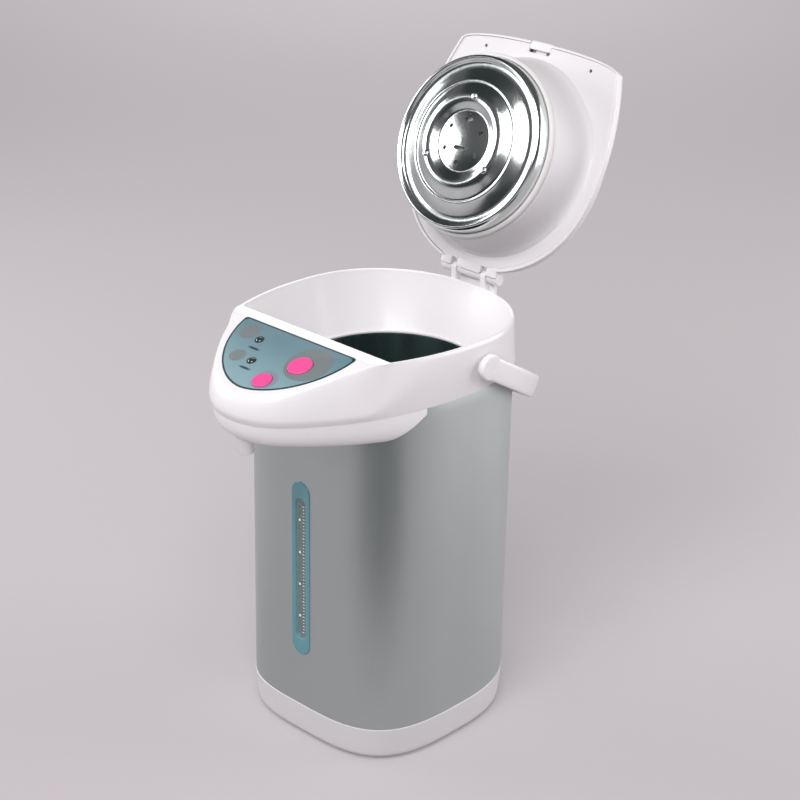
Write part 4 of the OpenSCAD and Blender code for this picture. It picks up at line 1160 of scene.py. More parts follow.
class HeadForm:
    """Rings of the head: outside wall, deck, ridge, funnel and the inside of the moulding."""

    def __init__(self, front: int = 46, rear: int = 78) -> None:
        """Splits each side at the ridge's end, so that a ring point lies on that corner.

        Args:
            front: Points ahead of that corner.
            rear: Steps behind it.
        """
        top_a, top_b = self.deck_tip, S.rim_rear - S.crest
        u0 = math.acos(1 - 2 * (S.ridge_y - top_a) / (top_b - top_a)) / math.pi
        self.u = np.concatenate([np.linspace(0, u0, front, endpoint=False), np.linspace(u0, 1, rear + 1)])
        self.front = front

    @property
    def deck_tip(self) -> float:
        """Depth of the deck's front end."""
        return S.panel_y - S.panel_len * math.cos(math.radians(S.slope)) - S.deck_border

    def depths(self, a: float, b: float) -> Array:
        """Depths along one side, crowded towards both ends."""
        return a + (b - a) * (1 - np.cos(np.pi * self.u)) / 2

    @staticmethod
    def ring(half: Array, y: Array, z: Array) -> Array:
        """Right side front to back, then the left side back to front."""
        right = np.stack([half, y, np.broadcast_to(z, y.shape)], 1)
        return np.concatenate([right, (right * [-1, 1, 1])[-2:0:-1]])

    @staticmethod
    def rimness(y: Array) -> Array:
        """0 at the nose, 1 at the rim."""
        return smooth((y + 115) / 60)

    def low(self, g: float, z: float, o: float = 0.0) -> Array:
        """Ring at the parting line, set in by g."""
        y = self.depths(-S.nose_reach - o + g, S.body_d + S.head_lip + min(o, 0) - g)
        return self.ring(self.shut(S.low_w(y, o * (1 - self.rimness(y)) - g)), y, z)

    def wide(self, g: float) -> Array:
        """Ring of the widest line: the nose's bulge in front, the rim's outside behind.

        Args:
            g: How far inside the outer face.

        Returns:
            Ring points.
        """
        y = self.depths(-S.nose_reach - S.nose_bulge + g, S.rim_rear - g)
        r = self.rimness(y)
        half = (1 - r) * S.low_w(y, S.nose_bulge - g) + r * S.rim_w(y, -g)
        return self.ring(self.shut(half), y, (1 - r) * (S.collar_z + 8) + r * (S.rim_at(y) - 4 - g))

    @staticmethod
    def shut(half: Array) -> Array:
        """Half widths with both ends brought to the middle.

        Args:
            half: Half widths along a side.

        Returns:
            A copy, zero at both ends and nowhere below.
        """
        out = np.maximum(half, 0)
        out[0] = out[-1] = 0
        return out

    def deck_w(self, y: Array) -> Array:
        """Half width of the deck round the panel: a superellipse of power 1.6."""
        t = np.clip((S.panel_y - y) / (S.panel_y - self.deck_tip), 0, 1)
        return (S.panel_w + S.deck_over) * np.maximum(0, 1 - t**1.6) ** (1 / 1.6)

    def top_w(self, y: Array) -> Array:
        """Half width of the deck, widening to the rim's crest at the ridge.

        Args:
            y: Depths.

        Returns:
            Half width at each depth.
        """
        end = S.rim_w(np.full(1, S.ridge_y), -S.crest)[0]
        reach = 18.0
        share = smooth((y - S.panel_y + reach) / (S.ridge_y - S.panel_y + reach))
        swell = share * (end - S.panel_w - S.deck_over)
        return self.deck_w(y) + swell + np.where(y > S.ridge_y, S.rim_w(y, -S.crest) - end, 0)

    @staticmethod
    def top_z(y: Array) -> Array:
        """Height of the deck: the panel's slope, a soft crease, the level band and the rim.

        Args:
            y: Depths.

        Returns:
            Height at each depth.
        """
        slope = S.panel_z + (y - S.panel_y) * math.tan(math.radians(S.slope))
        d = y - S.panel_y
        crease = 0.5 * (d + np.sqrt(d * d + 1.6))
        return slope - crease * (math.tan(math.radians(S.slope)) + S.rim_rise)

    def top(self, g: Array | float) -> Array:
        """Ring along the deck's border and the rim's crest.

        Args:
            g: How far inside the outer face.

        Returns:
            Ring points.
        """
        y = self.depths(self.deck_tip, S.rim_rear - S.crest)
        grow = np.broadcast_to(g, y.shape)
        y2 = y + grow * np.cos(np.pi * self.u)
        half = self.top_w(y) - grow * np.sin(np.pi * self.u) ** 0.3
        return self.ring(self.shut(half), y2, self.top_z(y) - grow)

    def ridge(self, g: Array | float, dz: Array | float) -> Array:
        """Ring of the funnel's upper edge: straight along the ridge, then inside the crest.

        Args:
            g: How far inside the outer face.
            dz: How far raised.

        Returns:
            Ring points.
        """
        y0 = self.depths(self.deck_tip, S.rim_rear - S.crest)
        back = S.rim_rear - 1.8 * S.crest
        grow = np.broadcast_to(g, y0.shape)
        y = np.where(self.u < self.u[self.front], S.ridge_y,
                     S.ridge_y + (y0 - S.ridge_y) * (back - S.ridge_y) / (S.rim_rear - S.crest - S.ridge_y))
        half = S.rim_w(y, -1.8 * S.crest)
        share = np.clip(self.u / self.u[self.front], 0, 1)
        half = np.where(self.u < self.u[self.front], half * np.sin(share * np.pi / 2) ** 0.9, half)
        angle = np.arctan2(half, -y)
        half, y = half + grow * np.sin(angle), y - grow * np.cos(angle)
        return self.ring(self.shut(half), y, S.rim_at(y) + dz)

    @staticmethod
    def mouth(ridge: Array, radius: float, z: float) -> Array:
        """Circle at the pot's mouth, each point straight in from the ridge's."""
        a = np.arctan2(ridge[:, 0], -ridge[:, 1])
        return np.stack([radius * np.sin(a), -radius * np.cos(a), np.full(len(a), z)], 1)

    @staticmethod
    def between(p: Array, q: Array, flat: Array, up: Array) -> list[Array]:
        """Rings between two rings; flat and up are the shares in plan and in height."""
        step = np.stack([flat, flat, up], 1)[:, None, :]
        return list(p[None] + (q - p)[None] * step)

    def funnel(self, ridge: Array, mouth: Array, edge: float, count: int) -> list[Array]:
        """Rounded edge, then the wall down to the mouth: plan share 0.8 v + 0.2 v squared.

        Args:
            ridge: Ring it starts from.
            mouth: Ring it ends on.
            edge: Radius of the rounded edge.
            count: Steps of the wall, the first one left out.

        Returns:
            The rings in order.
        """
        flat = mouth[:, :2] - ridge[:, :2]
        flat /= np.linalg.norm(flat, axis=1)[:, None]
        rings = []
        for a in np.linspace(0, np.pi / 2, 6):
            ring = ridge.copy()
            ring[:, :2] += flat * edge * np.sin(a)
            ring[:, 2] -= edge * (1 - np.cos(a))
            rings.append(ring)
        v = np.linspace(0, 1, count)[1:]
        return rings + self.between(rings[-1], mouth, 0.8 * v + 0.2 * v * v, v)

    def outside(self) -> list[Array]:
        """Outer wall from the parting line to the deck's border.

        Returns:
            The rings, from below.
        """
        v = np.linspace(0, 1, 14)[1:]
        seam = S.seam_out
        low, wide, top = self.low(0, S.collar_z + 0.6, seam), self.wide(0), self.top(0.0)
        a = np.linspace(0, np.pi / 2, 16)[1:]
        return ([self.low(0.5, S.collar_z, seam), self.low(0.12, S.collar_z + 0.15, seam), low]
                + self.between(low, wide, np.sin(v * np.pi / 2), v)
                + self.between(wide, top, 1 - np.cos(a), np.sin(a)))

    def deck(self, top: Array, ridge: Array, drop: Array | float, count: int) -> list[Array]:
        """Rings from the border to the ridge; their height depends on depth alone.

        Args:
            top: The border's ring.
            ridge: The ridge's ring.
            drop: How far below the surface.
            count: Rings with both ends, which are left out.

        Returns:
            The rings between.
        """
        share = np.linspace(0, 1, count)[1:-1]
        rings = self.between(top, ridge, share, share)
        for ring in rings:
            ring[:, 2] = self.top_z(ring[:, 1]) - drop
        return rings

    def shell(self) -> Shell:
        """The whole moulding as one closed loop of rings.

        Returns:
            The closed moulding.
        """
        mouth_z = S.collar_z - 10 + 0.8 + 2.8
        radius = S.pot_r + 2
        ridge = self.ridge(0.0, 0.0)
        outer = self.outside()
        outer += self.deck(outer[-1], ridge, 0.0, 52)
        outer += self.funnel(ridge, self.mouth(ridge, radius, mouth_z), 1.1, 26)
        y = self.depths(self.deck_tip, S.rim_rear - S.crest)
        g = S.wall - (S.wall - 0.6) * self.rimness(y)
        top_in, ridge_in = self.top(g), self.ridge(g, -S.wall)
        top_in[:, 2] = self.top_z(top_in[:, 1]) - S.wall
        wide_in, low_in = self.wide(S.wall), self.low(S.wall, S.collar_z)
        v = np.linspace(1, 0, 10)
        a = np.linspace(0, np.pi / 2, 8)
        mouth_in = self.mouth(ridge_in, radius + S.wall, mouth_z)
        inner = self.between(ridge_in, mouth_in, 0.8 * v + 0.2 * v * v, v)
        inner += self.deck(top_in, ridge_in, S.wall, 24)[::-1]
        inner += self.between(wide_in, top_in, 1 - np.cos(a), np.sin(a))[::-1]
        v = np.linspace(1, 0, 6)[1:]
        inner += self.between(low_in, wide_in, v, v)
        return Shell.grid(np.array(outer + inner), loop=True)


@dataclass
class Head:
    """Head moulding, chin cover, spout and the ears of the hinge."""

    stud_r: float = 4.0
    chin_back: float = 55.0
    chin_drop: float = 28.5
    chin_rise: float = 0.075
    chin_round: float = 10.0
    chin_sweep: float = 31.0
    spout_y: float = -172.0
    spout_r: float = 6.5
    ear_in: float = 14.5
    ear_out: float = 20.5
    ear_r: float = 6.0

    def build(self) -> None:
        """Builds the moulding with its fittings, the chin cover and the spout."""
        self.moulding()
        self.chin()
        self.spout()

    def moulding(self) -> None:
        """Head shell with the panel's recess, holes, studs' bosses and hinge ears."""
        recess = prism(Panel().outline(0.15), -0.5, 3.0).moved(S.on_panel)
        ears = []
        low = float(S.rim_at(S.rim_rear)) - 9
        for side in (-1, 1):
            x0, x1 = sorted((side * self.ear_in, side * self.ear_out))
            ears += [revolve(disc_profile(self.ear_r, x0, x1, 0.8), loop=False, around=64).moved(on_hinge),
                     rounded_box((x0, S.hinge_y - self.ear_r + 0.1, low),
                                 (x1, S.hinge_y + self.ear_r - 1, S.hinge_z), 0.8)]
        saddle = rounded_box((-26, S.hinge_y + 0.4, low + 1),
                             (26, S.hinge_y + self.ear_r - 0.3, S.hinge_z - 6.4), 1.6)
        face = S.rim_w_mid + 0.5
        ring = np.array([(9, S.rim_w_mid - 3.6), (9, S.rim_w_mid + 0.1), (8.6, face), (self.stud_r, face),
                         (self.stud_r, S.rim_w_mid - 3.6)])
        stud = [0, S.bail_y, S.bail_z]
        bosses = [revolve(ring, around=64).moved(lambda p, s=side: lying_x(p) * [s, 1, 1] + stud)
                  for side in (-1, 1)]
        head = Piece("head_shell", HeadForm().shell(), 38)
        head.cut(recess, Panel().bores(-8, 4))
        extra = Piece("head_fittings", join(ears) + saddle + join(bosses))
        extra.dress(Body.HOUSING, WHITE, "white_gloss")
        head.dress(Body.HOUSING, WHITE, "white_gloss", "head_shell")

    def chin_ring(self, inset: float, share: float, rear: float, g: float = 0.0) -> Array:
        """Ring of the chin: inset in plan, at a share of its drop, ending at depth rear.

        Args:
            inset: Inset from the plan's outline.
            share: Share of the drop.
            rear: Depth at the end.
            g: How far inside the outer face.

        Returns:
            Ring points.
        """
        u = np.linspace(0, 1, 90)
        swell = S.seam_out * (1 - share)
        a = -S.nose_reach + g + inset - swell
        y = a + (rear - a) * (1 - np.cos(np.pi * u)) / 2
        half = np.maximum(0, S.low_w(y, -g - inset + swell * (1 - HeadForm.rimness(y))))
        half[0] = 0
        under = S.collar_z - self.chin_drop + self.chin_rise * (-self.chin_back - y)
        z = S.collar_z + (under - S.collar_z) * share
        right = np.stack([half, y, z], 1)
        return np.concatenate([right, (right * [-1, 1, 1])[:0:-1]])

    def chin(self) -> None:
        """Cover under the nose, hollow, cut where the body and the spout pass."""
        def skin(g: float, h0: float, h1: float) -> list[Array]:
            """Rings of one face of the cover.

            Args:
                g: How far inside the outer face.
                h0: Share of the drop at the first ring.
                h1: Share at the last.

            Returns:
                The rings in order.
            """
            rings = []
            for a in np.linspace(0, np.pi / 2, 16):
                rear = -self.chin_back - 2 * g - self.chin_sweep * (1 - math.cos(a)) ** 1.6
                inset = 0.3 + self.chin_round * (1 - math.cos(a)) ** 1.3
                rings.append(self.chin_ring(inset, h0 + (h1 - h0) * math.sin(a), rear, g))
            return rings

        outer, inner = skin(0.0, 0.0, 1.0), skin(S.wall, 0.0, 1 - S.wall / self.chin_drop * 1.1)
        solid = self.closed(outer)
        hollow = self.closed([inner[0] + [0, 0, 3]] + inner)
        body = prism(S.body(0.1, count=240), S.collar_z - 60, S.collar_z + 20)
        bore = revolve(drilled(self.spout_r + 1.5, 290, 345), (0, self.spout_y, 0), 64, loop=False)
        chin = Piece("head_chin", solid, 38).cut(hollow, body, bore)
        chin.dress(Body.HOUSING, WHITE, "white_gloss", "head_chin")

    @staticmethod
    def closed(rings: list[Array]) -> Shell:
        """Shell whose end rings are folded onto the middle plane, so strips close them.

        Args:
            rings: Open rings in order.

        Returns:
            The closed shell.
        """
        def fold(ring: Array) -> Array:
            """A copy of the ring, pressed onto the middle plane.

            Args:
                ring: Ring points.

            Returns:
                The flat ring.
            """
            flat = ring.copy()
            flat[:, 0] = 0
            return flat
        return Shell.grid(np.array([fold(rings[0])] + rings + [fold(rings[-1])]))

    def spout(self) -> None:
        """Nozzle under the nose with a thin rolled lip."""
        under = S.collar_z - self.chin_drop + self.chin_rise * (-self.chin_back - self.spout_y)
        tip, top, r = under - 14.5, S.collar_z + 5.5, self.spout_r + 1.3
        path = [(r - 3.3, tip + 0.8), (r - 2.6, tip), (r - 0.8, tip), (r, tip + 1.0), (r, tip + 30),
                (8.4, tip + 31), (8.4, top), (6.1, top), (6.1, top - 5.2), (r - 3.3, top - 5.2)]
        Piece("spout", revolve(np.array(path), (0, self.spout_y, 0), 72), 40).dress(
            Body.HOUSING, WHITE, "white_gloss", "spout")


@dataclass(frozen=True)
class PanelFilm(Finish):
    """Printed film: teal ground with painted shade by its straight edge and painted light towards the nose,
    dark border line, grey fields and two dark dashes.
    """

    fields: tuple[tuple[float, float, float], ...] = (
        (33.9, 25.5, 21.5), (-47.2, 14.9, 10.0), (-33.0, 44.1, 7.8))
    dashes: tuple[tuple[float, float], ...] = ((-26.6, 30.7), (-14.1, 53.9))

    def build(self, g: Graph) -> bpy.types.Material:
        """Fields are circles and dashes ovals in the film's own plane.

        The border follows the distance to the outline: (1 - F) over the length of F's gradient for the
        superellipse F, s for the straight edge, and both joined by a round corner of radius r:
        r - sqrt((r - a)^2 + (r - b)^2).

        Args:
            g: The material's graph.

        Returns:
            The material.
        """
        at = g.place(shift=(0, -S.panel_y * MM, -S.panel_z * MM))
        flat = g.node("ShaderNodeVectorRotate", {"rotation_type": "X_AXIS"},
                      {"Vector": at, "Angle": -math.radians(S.slope)})
        x, y, _ = g.axes(flat)
        x, s = x * 1000.0, y * -1000.0
        cloud = g.noise(26.0, 2.0)
        # The ground is painted darker by the straight edge and lighter towards the nose over 75 mm: painted
        # shade and painted light, not print.
        shade = (s / 75.0).step(0.0, 1.0)
        ground = g.mix(shade * 0.8 + cloud * 0.2, (0.125, 0.225, 0.265), (0.26, 0.40, 0.44))
        tint = ground
        for cx, cs, r in self.fields:
            d = ((x - cx) ** 2.0 + (s - cs) ** 2.0) ** 0.5
            tint = g.mix((1 - d.step(r - 0.9, r + 0.5)) * 0.93, tint, (0.19, 0.215, 0.22))
        d = ((x - 14.6) ** 2.0 + (s - 57.2) ** 2.0) ** 0.5
        tint = g.mix((1 - d.step(10.9, 12.0)) * 0.85, tint, (0.25, 0.25, 0.31))
        for cx, cs in self.dashes:
            d = (((x - cx) / 7.4) ** 2.0 + ((s - cs) / 1.55) ** 2.0) ** 0.5
            tint = g.mix((1 - d.step(0.6, 1.15)) * 0.9, tint, (0.02, 0.04, 0.045))
        n, r = 1.8, 6.5
        u, v = abs(x) / S.panel_w, s.larger(0.01) / S.panel_len
        form = (u**n + v**n) ** (1 / n)
        slope = form ** (1 - n) * (
            (u ** (n - 1) / S.panel_w) ** 2.0 + (v ** (n - 1) / S.panel_len) ** 2.0) ** 0.5
        edge = r - ((r - (1 - form) / slope).larger(0.0) ** 2.0 + (r - s).larger(0.0) ** 2.0) ** 0.5
        tint = g.mix(1 - edge.step(1.45, 1.95), tint, (0.016, 0.05, 0.06))
        fine = g.noise(2400.0, 2.0)
        return g.skin(Base_Color=tint, Roughness=0.34 + cloud * 0.08, Coat_Weight=0.2,
                      Normal=g.bump(fine, 0.00001, 0.4))


FILM = PanelFilm("panel_film")


@dataclass
class Panel:
    """Control panel: printed film, two keys and two indicator lamps."""

    dispense_r: float = 11.0
    reboil_r: float = 8.8
    lamp_r: float = 3.4
    thickness: float = 0.8

    def outline(self, grow: float = 0.0, count: int = 240) -> Array:
        """D shape: a half superellipse of power 1.8 under a straight edge, corners rounded.

        Args:
            grow: How far it is grown.
            count: Number of points.

        Returns:
            Points (x, y).
        """
        a = np.linspace(0, np.pi, count // 2)
        w, d, p = S.panel_w + grow, S.panel_len + 2 * grow, 2 / 1.8
        arc = np.stack([w * powered(np.cos(a), p), grow - d * np.sin(a) ** p], 1)
        x = np.linspace(-w, w, count // 2)[1:-1]
        loop = np.concatenate([arc, np.stack([x, np.full_like(x, grow)], 1)])
        return self.soften(loop, 8.0, count)

    @staticmethod
    def soften(loop: Array, radius: float, count: int) -> Array:
        """Rounds a loop's corners: even steps, then a running mean about as long as radius.

        Args:
            loop: The loop's points.
            radius: About the length of the mean.
            count: Number of points returned.

        Returns:
            The softened loop.
        """
        closed = np.concatenate([loop, loop[:1]])
        run = np.concatenate([[0], np.cumsum(np.linalg.norm(np.diff(closed, axis=0), axis=1))])
        t = np.linspace(0, run[-1], count * 4, endpoint=False)
        even = np.stack([np.interp(t, run, closed[:, k]) for k in (0, 1)], 1)
        reach = max(1, int(radius * 0.8 / (run[-1] / len(t))))
        window = np.hanning(2 * reach + 1)
        window /= window.sum()
        wide = np.concatenate([even[-reach:], even, even[:reach]])
        soft = np.stack([np.convolve(wide[:, k], window, "valid") for k in (0, 1)], 1)
        return soft[::4]

    def places(self) -> list[tuple[tuple[float, float], float]]:
        """Centres and radii of the keys and lamps in panel coordinates.

        Returns:
            Pairs of centre and radius, the keys first.
        """
        w, d = S.panel_w, S.panel_len
        spots = ((0.428, 0.4, self.dispense_r), (0.186, 0.792, self.reboil_r),
                 (-0.466, 0.262, self.lamp_r), (-0.24, 0.588, self.lamp_r))
        return [((x * w, -y * d), r) for x, y, r in spots]

    def bores(self, low: float, high: float) -> Shell:
        """Cutters for the keys and lamps, 0.4 mm wider, from low to high across the panel.

        Args:
            low: Where they start under the panel.
            high: Where they end over it.

        Returns:
            The four cutters as one shell.
        """
        return join(revolve(drilled(r + 0.4, low, high), (x, y, 0), 64, loop=False).moved(S.on_panel)
                    for (x, y), r in self.places())

    def build(self) -> None:
        """Builds film, keys and lamps."""
        self.film()
        (one, r1), (two, r2), *lamps = self.places()
        self.key("dispense_button", one, r1, Body.DISPENSE)
        self.key("reboil_button", two, r2, Body.REBOIL)
        self.lamps(lamps)

    def film(self) -> None:
        """The film: its outline raised from the recess, with a small rounded edge and four holes."""
        outline = self.outline()
        tangent = np.roll(outline, -1, 0) - np.roll(outline, 1, 0)
        tangent /= np.linalg.norm(tangent, axis=1)[:, None]
        inward = np.stack([tangent[:, 1], -tangent[:, 0]], 1)
        centre = np.repeat([[0.0, -0.42 * S.panel_len]], len(outline), 0)
        top = self.thickness - 0.5
        rings = [outline_ring(centre, -0.5), outline_ring(outline, -0.5), outline_ring(outline, top - 0.2),
                 outline_ring(outline + 0.06 * inward, top - 0.06), outline_ring(outline + 0.2 * inward, top),
                 outline_ring(centre, top)]
        piece = Piece("control_panel", Shell.grid(S.on_panel(np.array(rings))))
        piece.cut(self.bores(-6, 6))
        piece.dress(Body.HOUSING, FILM, "teal_plastic", "control_panel")

    def key(self, name: str, at: tuple[float, float], r: float, body: Body) -> None:
        """Key cap with a rounded edge and a slight crown, on its flange and stem.

        Args:
            name: Name of the piece and its node.
            at: Centre on the panel.
            r: The cap's radius.
            body: Body that it rides on.
        """
        profile = [(0, -8.2), (2.6, -8.2), (3, -7.8), (3, -4.6), (r + 1.2, -4.6), (r + 1.2, -3.6), (r, -3.6)]
        a = np.linspace(0, np.pi / 2, 8)
        edge, top = 0.8, 1.25
        cap = [(r - edge + edge * math.cos(t), top - edge + edge * math.sin(t)) for t in a]
        crown = [(q, top + 0.15 * (1 - (q / (r - edge)) ** 2)) for q in np.linspace(r - edge, 0, 8)[1:]]
        shell = revolve(np.array(profile + cap + crown), (*at, 0), 72, loop=False).moved(S.on_panel)
        Piece(name, shell).dress(body, PINK, "pink_plastic", name)

    def lamps(self, spots: Sequence[tuple[tuple[float, float], float]]) -> None:
        """Dark glossy domes over two lamps, each in a thin dark ring.

        Args:
            spots: Pairs of centre and radius.
        """
        domes, bezels = [], []
        for at, r in spots:
            a = np.linspace(0, np.pi / 2, 9)
            dome = [(0, -12), (r, -12), (r, 0.0)] + [(r * math.cos(t), 1.8 * math.sin(t)) for t in a]
            domes.append(revolve(np.array(dome), (*at, 0), 40, loop=False).moved(S.on_panel))
            ring = np.array([(r + 0.05, -0.3), (r + 0.05, 0.45), (r + 0.3, 0.6), (r + 0.85, 0.55),
                             (r + 0.95, 0.31), (r + 0.38, 0.31), (r + 0.38, -0.3)])
            bezels.append(revolve(ring, (*at, 0), 48).moved(S.on_panel))
        Piece("indicator_lenses", join(domes)).dress(Body.HOUSING, LAMP, "lens_plastic", "indicator_lenses")
        Piece("lamp_rings", join(bezels)).dress(Body.HOUSING, DARK, "dark_plastic")


@dataclass
class Vessel:
    """Inner pot and the sealing ring at its mouth."""

    floor: float = 96.0
    thickness: float = 0.8
    corner: float = 12.0
    flange_w: float = 6.5
    gasket_h: float = 2.8
    drain: tuple[float, float] = (-50.0, 6.0)

    def build(self) -> None:
        """Pot section: inside, rounded foot, outside and flange; then the ring."""
        r, z, t = S.pot_r, S.collar_z - 10, self.thickness
        a = np.linspace(0, np.pi / 2, 12)
        inner = np.stack([r - self.corner + self.corner * np.cos(a),
                          self.floor + self.corner * (1 - np.sin(a))], 1)
        wide = self.corner + t
        outer = np.stack([r - self.corner + wide * np.cos(a[::-1]),
                          self.floor + self.corner - wide * np.sin(a[::-1])], 1)
        side = [(r, h) for h in np.linspace(z - 2, self.floor + self.corner + 4, 12)]
        profile = [(r + 0.9, z + t), (r + 0.2, z + 0.3), *side, *inner, (0, self.floor), (0, self.floor - t),
                   *outer, (r + t, z - 1), (r + t + 0.8, z), (r + self.flange_w, z),
                   (r + self.flange_w, z + t)]
        y, radius = self.drain
        hole = revolve(drilled(radius - 0.5, 80, 100), (0, y, 0), 48, loop=False)
        neck = revolve(np.array([(radius - 1.2, self.floor - 9), (radius, self.floor - 9),
                                 (radius, self.floor - t / 2), (radius - 1.2, self.floor - t / 2)]),
                       (0, y, 0), 48)
        Piece("inner_pot", revolve(np.array(profile), around=144)).cut(hole).dress(
            Body.HOUSING, COATING, "pot_coating", "inner_pot")
        Piece("pot_neck", neck).dress(Body.HOUSING, COATING, "pot_coating")
        low = z + t
        ring = rounded([(r + 0.4, low), (r + 0.4, low + self.gasket_h), (r + 1.6, low + self.gasket_h),
                        (r + 4.4, low + self.gasket_h), (r + 4.4, low)], 2, closed=True)
        Piece("pot_gasket", revolve(ring, around=144)).dress(
            Body.HOUSING, WHITE_MATTE, "seal_rubber", "pot_gasket")


@dataclass
class Lid:
    """Lid: outer moulding, inner moulding with plug, seal, steel liner, screws, vent and latch."""

    gap: float = 0.6
    dome: float = 14.8
    wall: float = 2.2
    liner_r: float = 79.0
    liner_depth: float = 64.0
    seat: float = 49.0
    vent_y: float = 30.0
    vent_r: float = 15.0
    latch_w: float = 24.0
    notch: float = 34.0

    @property
    def front(self) -> float:
        """Depth of the lid's front edge."""
        return S.panel_y + 1.2

    @property
    def plug_y(self) -> float:
        """Depth of the plug's axis."""
        return -1.0

    def at(self, y: Any) -> Any:
        """Height of the lid's lower edge."""
        return S.rim_at(y) + self.gap

    def half(self, y: Array, g: float) -> Array:
        """Half width: the rim's outline, closed by a flat superellipse corner in front.

        Args:
            y: Depths.
            g: How far the outline is set in.

        Returns:
            Half width at each depth.
        """
        corner = self.front + 13.5
        c = S.rim_w(np.full(1, corner), -g)[0]
        t = np.clip((corner - y) / (corner - self.front - g), 0, 1)
        return np.where(y < corner, c * np.maximum(0, 1 - t**2.2) ** (1 / 2.2), S.rim_w(y, -g))

    def ring(self, g: float, dz: float, count: int = 130) -> Array:
        """Lid outline set in by g and raised by dz.

        Args:
            g: How far the outline is set in.
            dz: How far raised.
            count: Steps along one side.

        Returns:
            Ring points.
        """
        u = np.linspace(0, 1, count + 1)
        a, b = self.front + g, S.rim_rear - g
        y = a + (b - a) * (1 - np.cos(np.pi * u)) / 2
        half = HeadForm.shut(self.half(y, g))
        right = np.stack([half, y, self.at(y) + dz], 1)
        return np.concatenate([right, (right * [-1, 1, 1])[-2:0:-1]])

    @staticmethod
    def shrink(ring: Array, k: float, dz: float) -> Array:
        """Ring drawn towards the middle by k and raised, its tilt kept.

        Args:
            ring: Ring to draw in.
            k: Factor in plan.
            dz: How far raised.

        Returns:
            The new ring.
        """
        out = ring * [k, k, 1]
        out[:, 2] += S.rim_rise * ring[:, 1] * (1 - k) + dz
        return out

    def crown(self, g: float, low: float, count: int) -> list[Array]:
        """Rings of the dome: edge, upright side, then a superellipse crown of power 8/3.

        Args:
            g: How far the outline is set in.
            low: Height of the first ring.
            count: Number of rings of the crown.

        Returns:
            The rings in order.
        """
        wall = self.ring(g, 6)
        rings = [self.ring(g, low), self.ring(g, low + 0.5), self.ring(g, 3)]
        for a in np.linspace(0, np.pi / 2, count):
            rings.append(self.shrink(wall, max(0.0, math.cos(a)) ** 0.75,
                                     (self.dome - 6 - g) * math.sin(a) ** 0.75))
        return rings

    def build(self) -> None:
        """Builds all pieces of the lid."""
        self.outer()
        self.inner()
        self.seal()
        self.liner()
        self.screws()
        self.vent()
        self.latch()

    def outer(self) -> None:
        """Outer moulding with its hinge notch, vent hole and latch slot."""
        inside = self.crown(0.4 + self.wall, -0.2, 14)[::-1]
        lip = [self.ring(0.4 + self.wall, 0.1), self.ring(0.4 + self.wall - 0.4, -0.15),
               self.ring(0.9, -0.15)]
        outside = self.crown(0.4, 0.2, 26)
        shell = Shell.grid(np.array(inside[:-1] + lip + outside))
        vent = revolve(drilled(self.vent_r + 0.2, S.hinge_z, S.hinge_z + 40), (0, self.vent_y, 0), 64,
                       loop=False)
        Piece("lid_shell", shell.moved(S.on_lid), 38).cut(
            self.hinge_notch(), vent.moved(S.on_lid), self.latch_slot()).dress(
            Body.LID, WHITE_LID_PAINTED_SHADE, "white_gloss", "lid_shell")

    def hinge_notch(self) -> Shell:
        """Space for the hinge at the lid's back, swung open."""
        return rounded_box((-self.notch, S.hinge_y - 8, S.hinge_z - 30),
                           (self.notch, S.hinge_y + 22, S.hinge_z + 30), 0.5).moved(S.on_lid)

    @property
    def latch_at(self) -> tuple[float, float]:
        """Depth and height of the latch's front lower edge."""
        return self.front - 0.4, self.at(self.front) + 0.4

    def latch_slot(self) -> Shell:
        """Space that the latch slides in, swung open.

        Returns:
            The closed box.
        """
        y, z = self.latch_at
        half = self.latch_w / 2 + 0.2
        return rounded_box((-half, y - 2, z - 8), (half, y + 10.9, z + 6.2), 0.05).moved(S.on_lid)

    def around(self, ring: Array, radius: Array | float, depth: float) -> Array:
        """Circle about the plug's axis, each point straight in from the ring's.

        Args:
            ring: Ring that the points follow.
            radius: The circle's radius.
            depth: How far below the hinge.

        Returns:
            Ring points.
        """
        a = np.arctan2(ring[:, 0], -(ring[:, 1] - self.plug_y))
        r = np.broadcast_to(radius, a.shape)
        return np.stack([r * np.sin(a), self.plug_y - r * np.cos(a), np.full(len(a), S.hinge_z - depth)], 1)

    def inner(self) -> None:
        """Inner moulding: plate inside the outer lip, flared plug and its hollow back."""
        edge = self.ring(0.7 + self.wall, 1.2)
        a = np.arctan2(edge[:, 0], -(edge[:, 1] - self.plug_y))
        ahead = smooth((np.cos(a) - 0.35) / 0.4)
        lr = self.liner_r

        def flare(radius: float, more: float) -> Array:
            """Radius widened by more, but by a fifth of it and 1.2 mm less in front."""
            return radius + more * (1 - 0.8 * ahead) - 1.2 * ahead

